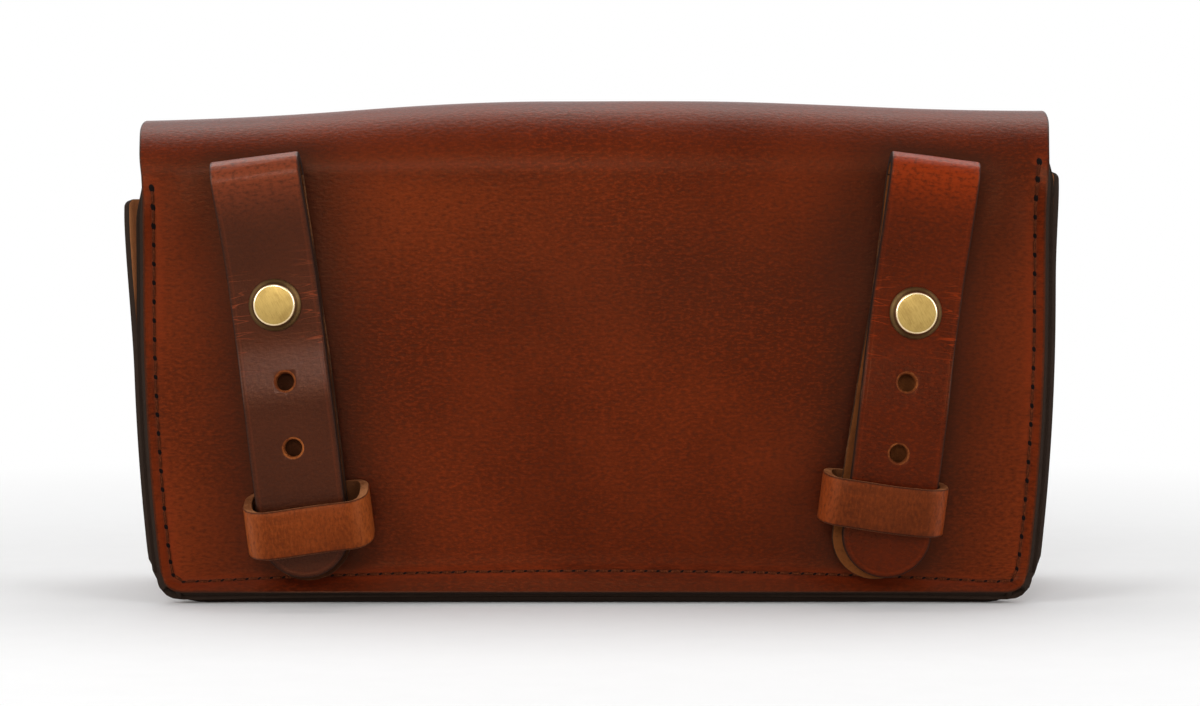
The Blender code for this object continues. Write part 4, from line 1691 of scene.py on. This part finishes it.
    def leaf_rim(self, across: float, along: float) -> float:
        """Measures in from the strap's long edges and round tips.

        Args:
            across: the strap, from its middle.
            along: the length along the strap.

        Returns:
            The distance to the cut edge.
        """
        half = self.width / 2
        rim = half - abs(across)
        for tip in (-self.tip - self.overhang + half, self.leaf_post + self.tip - half):
            past = (along - tip) if tip > 0 else (tip - along)
            if past > 0:
                rim = half - hypot(across, past)
        return rim

    def creasing(self, across: float, along: float) -> float:
        """Returns how worked the leather is: round the post, towards the edges."""
        drop = along - self.leaf_post
        return hump(drop, 3 * MM, 13 * MM) * ease((abs(across) - 3.5 * MM) / (6 * MM))

    def loop_worn_and_lit(self, across: float, along: float) -> float:
        """Returns how much lighter the leather is over the loop and a little below: worn there, with a
        painted highlight over it.
        """
        del across
        return 0.85 * hump(along, self.fold_z + pi * self.fold_mid * 0.72, 9 * MM)

    def make_leaves(self) -> None:
        """Makes the under leaf, and the loop with the upper leaf in one piece."""
        half = self.width / 2
        outer, inner = half - 0.9 * MM, half - 1.8 * MM
        across = [outer, -outer, inner, -inner, *spread(-inner, inner, 2 * MM)]
        grain = self.palette.strap[self.side]
        flesh = self.palette.strap_flesh[self.side]
        readings = {"rim": self.leaf_rim, "darkening_and_creases": self.creasing, "rub_and_light": self.loop_worn_and_lit}
        start = -self.tip - self.overhang
        base = Hide(f"strap_{self.word}_under", self.tongue(start, self.fold_z), self.thickness,
                    [ring((0, 0), POST_HOLE)], across_lines=across,
                    along_lines=spread(start, self.fold_z, self.under_grid), flip=True)
        under = (grain, self.palette.under_edge, flesh, self.palette.punched)
        piece = show(base.bend(self.surface, readings), under)
        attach(piece, f"strap_{self.word}")
        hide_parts(f"strap_{self.word}_base")

        end = self.leaf_post + self.tip
        holes = [ring((0, self.leaf_post), POST_HOLE)]
        drop = 0.0
        for pitch in self.pitches:
            drop += pitch
            holes.append(ring((0, self.leaf_post + drop), self.hole))
        leaf = Hide(f"strap_{self.word}_upper", self.tongue(end, self.fold_z), self.thickness, holes,
                    across_lines=across, along_lines=spread(self.fold_z, end, self.upper_grid),
                    edge_round=self.upper_round, flip=True)
        upper = (grain, self.palette.strap_edge, flesh, self.palette.punched)
        piece = show(leaf.bend(self.surface, readings), upper)
        apex = self.frame @ Vector((0, -(self.base_at_post + self.fold_mid), self.top))
        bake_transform(piece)
        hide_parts(f"strap_{self.word}_leaf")

    def make_keeper(self) -> None:
        """Makes the loop round both leaves, its front sagging below its back."""
        x = self.width / 2 + self.keeper_side_play + self.keeper_wall
        depth = 2 * self.thickness + self.leaf_gap + self.keeper_play + 2 * self.keeper_wall
        near, far = self.seat, self.seat + depth
        rear, fore = self.keeper_corner, self.keeper_front_corner
        joint = Vector((0.0, near))
        path = [joint,
                *quarter((x - rear, near + rear), rear, 270),
                *quarter((x - fore, far - fore), fore, 0),
                *quarter((fore - x, far - fore), fore, 90),
                *quarter((rear - x, near + rear), rear, 180),
                joint]
        reach = lengths_to(path)
        length = reach[-1]
        half = self.keeper_height / 2

        def surface(rise: float, along: float) -> Vector:
            """Bends the flat strip round the leaves.

            Args:
                rise: up the strip, from its middle.
                along: the strip, from its joint.

            Returns:
                The place of the grain.
            """
            ahead = between(path, reach, (along + 1 * MM) % length)
            behind = between(path, reach, (along - 1 * MM) % length)
            point = (between(path, reach, along % length) * 2 + ahead + behind) / 4
            sag = self.keeper_sag * (point.y - near)
            share = (point.y - near) / depth
            belly = self.keeper_belly * share * (1 - (rise / half) ** 2)
            wave = self.keeper_wave * noise.noise(Vector((along * 60, self.seed, 5.0))) * share
            z = rise - self.keeper_drop - sag + wave
            return self.frame @ Vector((point.x + self.keeper_shift, -point.y - belly, z))

        def rim(rise: float, along: float) -> float:
            """Returns the distance in from the strip's long edges."""
            del along
            return half - abs(rise)

        def rubbed_and_lit(rise: float, along: float) -> float:
            """Returns how much painted highlight lies on the strip: at its two outer bends."""
            del rise
            return 0.8 * ease((abs(between(path, reach, along % length).x) / x - 0.62) / 0.36)

        edge = [self.keeper_joint, *spread(0, length, 1.5 * MM), length - self.keeper_joint]
        outline = [Vector((-half, along)) for along in reversed(edge)]
        outline += [Vector((half, along)) for along in edge]
        strip = Hide(f"keeper_{self.word}_loop", outline, self.keeper_wall,
                     across_lines=spread(-half, half, 1.3 * MM), along_lines=spread(0, length, 0.8 * MM))
        mesh = strip.bend(surface, {"rim": rim, "rub_and_light": rubbed_and_lit})
        finishes = (self.palette.keeper[self.side], self.palette.raw_edge, self.palette.keeper_flesh)
        piece = show(mesh, finishes)
        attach(piece, f"keeper_{self.word}")
        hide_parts(f"keeper_{self.word}")

    def make_post(self) -> None:
        """Makes the post's head: a brushed disc with a bright lip standing in a dark bevelled ring."""
        lowest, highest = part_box(f"post_{self.word}_cap")
        face = self.post.y - self.leaf_at_post - self.thickness / 2
        radius = self.cap_radius
        tall, end = face - lowest.y, face - highest.y
        disc = [(0.0, tall), (4.72 * MM, tall - 0.04 * MM)]
        lip = [(5.02 * MM, tall - 0.12 * MM), (5.16 * MM, tall - 0.34 * MM), (5.26 * MM, tall - 0.62 * MM)]
        bevel = [(radius - 0.55 * MM, 0.95 * MM), (radius - 0.12 * MM, 0.62 * MM), (radius, 0.3 * MM),
                 (radius - 0.05 * MM, 0.02 * MM)]
        barrel = [(self.barrel, 0.0), (self.barrel, end), (self.bore, end), (self.bore, self.bore_end),
                  (0.0, self.bore_end)]
        finish = [0] + [1] * len(lip) + [2] * (len(bevel) + len(barrel))
        place = Matrix.Translation((self.post.x, face, self.post.z)) @ Matrix.Rotation(pi / 2, 4, "X")
        mesh = turn_profile(f"post_{self.word}_head", disc + lip + bevel + barrel, finish, place)
        brass = (self.palette.brass_flat, self.palette.brass_rim, self.palette.brass_dark)
        piece = show(mesh, brass)
        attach(piece, f"post_{self.word}")
        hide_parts(f"post_{self.word}_cap")

    def shade(self, x: float, height: float) -> float:
        """Works out how much shade is painted on the bag beside and under this strap.

        Args:
            x: across the back.
            height: up the back.

        Returns:
            0 away from the strap and 1 under it.
        """
        local = self.frame.inverted() @ Vector((x, self.post.y, height))
        beside = max(0.0, abs(local.x) - self.width / 2)
        above_tip = ease((local.z + self.tip + 8 * MM) / (12 * MM))
        below_top = 1 - ease((local.z - self.top) / (8 * MM))
        return exp(-beside / (9 * MM)) * above_tip * below_top

    def build(self) -> None:
        """Makes the strap from the bag outwards."""
        self.make_leaves()
        self.make_keeper()
        self.make_post()


def turn_profile(name: str, profile: Sequence[tuple[float, float]], finish: Sequence[int],
                 place: Matrix, steps: int = 72) -> bpy.types.Mesh:
    """Turns a profile on a lathe.

    Args:
        name: of the mesh.
        profile: (radius, height) points from the top centre round to the bottom centre.
        finish: the material slot of each stretch between points.
        place: where the piece stands, with its axis along z before.
        steps: round the axis.

    Returns:
        The turned mesh.
    """
    bm = bmesh.new()
    points = [bm.verts.new((radius, 0, height)) for radius, height in profile]
    edges = [bm.edges.new(pair) for pair in zip(points, points[1:])]
    bmesh.ops.spin(bm, geom=points + edges, cent=(0, 0, 0), axis=(0, 0, 1), angle=2 * pi,
                   steps=steps, use_merge=True)
    bmesh.ops.remove_doubles(bm, verts=bm.verts[:], dist=0.001 * MM)
    bmesh.ops.recalc_face_normals(bm, faces=bm.faces[:])
    middles = [(Vector(near) + Vector(far)) / 2 for near, far in zip(profile, profile[1:])]
    for face in bm.faces:
        middle = face.calc_center_median()
        spot = Vector((hypot(middle.x, middle.y), middle.z))
        gaps = [(stretch - spot).length for stretch in middles]
        face.material_index = finish[gaps.index(min(gaps))]
    bmesh.ops.transform(bm, matrix=place, verts=bm.verts[:])
    return as_mesh(bm, name, sharp=50)


# Press studs and other brass


@dataclass
class Closure:
    """The flap's press studs, and the plain brass inside the bag."""

    palette: Palette
    body: Body
    radius: float = 6.3 * MM
    tube: float = 1.45 * MM
    seat: float = -0.1 * MM

    def make_cap(self, side: Side, x: float) -> None:
        """Makes a press stud's domed cap on the flap.

        Args:
            side: which of the two.
            x: its place across the flap.
        """
        low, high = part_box(f"snap_{side.value}_cap")
        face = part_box("flap")[1].y
        tall, end = high.y - face, low.y - face
        radius = self.radius
        dome = [(0.0, tall), (2.4 * MM, tall - 0.12 * MM), (4.2 * MM, tall - 0.5 * MM),
                (5.4 * MM, tall - 1.0 * MM)]
        skirt = [(6.0 * MM, tall - 1.5 * MM), (radius, 0.55 * MM), (radius, 0.2 * MM),
                 (radius - 0.3 * MM, self.seat), (self.tube, self.seat), (self.tube, end), (0.0, end)]
        finish = [0] * (len(dome) - 1) + [1] * len(skirt)
        place = Matrix.Translation((x, face, self.body.stud_height)) @ Matrix.Rotation(-pi / 2, 4, "X")
        mesh = turn_profile(f"snap_{side.value}_dome", dome + skirt, finish, place)
        piece = show(mesh, (self.palette.brass_plain, self.palette.brass_dark))
        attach(piece, "flap")
        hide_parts(f"snap_{side.value}_cap")

    def build(self, nodes: dict[str, bpy.types.Object]) -> None:
        """Makes the caps and dresses the turned pieces that keep their own shape.

        Args:
            nodes: the frame's own pieces by name.
        """
        for side, sign in ((Side.LEFT, -1), (Side.RIGHT, 1)):
            self.make_cap(side, sign * self.body.stud_x)
            kept = [f"post_{side.value}_screw", f"snap_{side.value}_socket", f"snap_{side.value}_stud",
                    f"snap_{side.value}_eyelet"]
            for name in kept:
                node = nodes[name]
                node.data.materials.clear()
                node.data.materials.append(self.palette.brass_plain)
                LOG.info("%s dressed", name)


# Studio


@dataclass
class Studio:
    """A pale floor, soft light and the camera."""

    distance: float = 0.66
    elevation: float = radians(2.0)
    target: tuple[float, float, float] = (1.4 * MM, -27.3 * MM, 62.9 * MM)
    sensor: float = 36.0
    pixels_per_metre: float = 4000.0
    image_width: float = 1200.0
    world: float = 0.2
    lamp_target: tuple[float, float, float] = (0.0, 0.0, 0.06)
    floor_size: float = 6.0
    floor_fade: tuple[float, float] = (0.16, 0.5)
    paper: tuple[Colour, Colour] = ((0.86, 0.86, 0.86), (0.89, 0.89, 0.89))
    paper_scale: float = 90
    white: tuple[float, float, float, float] = (1.0, 1.0, 1.0, 1.0)

    def make_camera(self) -> None:
        """Stands the camera where the photograph was taken from."""
        data = bpy.data.cameras.new("camera")
        data.sensor_width = self.sensor
        data.lens = self.sensor * self.pixels_per_metre * self.distance / self.image_width
        camera = bpy.data.objects.new("camera", data)
        bpy.context.scene.collection.objects.link(camera)
        back = Vector((0, -cos(self.elevation), sin(self.elevation)))
        camera.location = Vector(self.target) + back * self.distance
        camera.rotation_euler = (-back).to_track_quat("-Z", "Y").to_euler()
        bpy.context.scene.camera = camera

    def make_lamp(self, name: str, place: Vector, size: tuple[float, float], power: float) -> None:
        """Hangs a soft box that faces the bag.

        Args:
            name: of the lamp.
            place: where it hangs, in metres.
            size: its width and height in metres.
            power: in watts.
        """
        data = bpy.data.lights.new(name, "AREA")
        data.shape = "RECTANGLE"
        data.size, data.size_y = size
        data.energy = power
        lamp = bpy.data.objects.new(name, data)
        bpy.context.scene.collection.objects.link(lamp)
        lamp.location = place
        lamp.rotation_euler = (Vector(self.lamp_target) - place).to_track_quat("-Z", "Y").to_euler()

    def make_world(self) -> None:
        """Surrounds the bag with even light, white where it is looked at."""
        g = Graph(bpy.data.worlds.new("studio"))
        level = self.world + g.seen() * (1.0 - self.world)
        sky = g.node("ShaderNodeBackground", None, {"Color": self.white, "Strength": level})
        bpy.context.scene.world = g.done(sky)

    def make_floor(self) -> None:
        """Lays a pale floor that fades to white away from the bag."""
        g = Graph.material("pale floor")
        place = g.where()
        far = g.node("ShaderNodeVectorMath", {"operation": "LENGTH"}, {0: place}, output="Value")
        colour = g.mix(g.cloud(place, self.paper_scale, 3), *self.paper)
        paper = g.principled(base_color=colour, roughness=0.8)
        white = g.node("ShaderNodeEmission", None, {"Color": self.white, "Strength": 1.0})
        fade = g.ramp(far, *self.floor_fade) * g.seen()
        mixed = g.node("ShaderNodeMixShader", None, {0: fade, 1: paper, 2: white})
        bm = bmesh.new()
        bmesh.ops.create_grid(bm, x_segments=4, y_segments=4, size=self.floor_size)
        mesh = as_mesh(bm, "floor")
        mesh.materials.append(g.done(mixed))
        floor = bpy.data.objects.new("floor", mesh)
        bpy.context.scene.collection.objects.link(floor)

    def build(self) -> None:
        """Sets up the view, the lamps and the floor."""
        bpy.context.scene.view_settings.view_transform = "Standard"
        self.make_camera()
        self.make_world()
        self.make_floor()
        self.make_lamp("top soft box", Vector((0.0, 0.25, 0.85)), (1.3, 0.6), 5.8)
        self.make_lamp("left soft box", Vector((-0.85, -0.7, 0.55)), (0.6, 0.8), 6.2)
        self.make_lamp("right soft box", Vector((0.9, -0.65, 0.5)), (0.6, 0.8), 5.4)
        self.make_lamp("front soft box", Vector((-0.12, -0.95, 0.42)), (0.3, 0.12), 2.0)


def main() -> None:
    """Builds the bag over its frame, from the hides to the brass."""
    logging.basicConfig(level=logging.INFO, format="%(name)s %(message)s")
    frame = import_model()
    palette = Palette()
    joints = {joint["name"]: joint for joint in frame["joints"]}
    Studio().build()
    left = Strap(palette, Side.LEFT, Vector(joints["strap_left_swivel"]["pos_m"]), radians(-7.4),
                 skew=0.5 * MM, pitches=(19.2 * MM, 16.4 * MM), tip=68 * MM, keeper_drop=51.8 * MM,
                 keeper_play=4.5 * MM, keeper_sag=0.28, keeper_shift=1.4 * MM, top=37 * MM, seed=3.7)
    right = Strap(palette, Side.RIGHT, Vector(joints["strap_right_swivel"]["pos_m"]), radians(7.4),
                  skew=-2.4 * MM, pitches=(17.5 * MM, 17.5 * MM), tip=66 * MM, keeper_drop=47 * MM,
                  keeper_play=2.5 * MM, keeper_sag=0.12, keeper_shift=-1.8 * MM, top=39 * MM, seed=11.2)
    body = Body(palette, (left.post, right.post))

    def darkness(x: float, along: float) -> float:
        """Returns how much shade is painted at a place on the wrapped hide, with the darkening along its
        bottom edge.
        """
        return max(left.shade(x, along), right.shade(x, along), body.shade_and_bottom_darkening(x, along))

    body.build(darkness)
    left.build()
    right.build()
    Closure(palette, body).build(frame["nodes"])


if __name__ == "__main__":
    main()
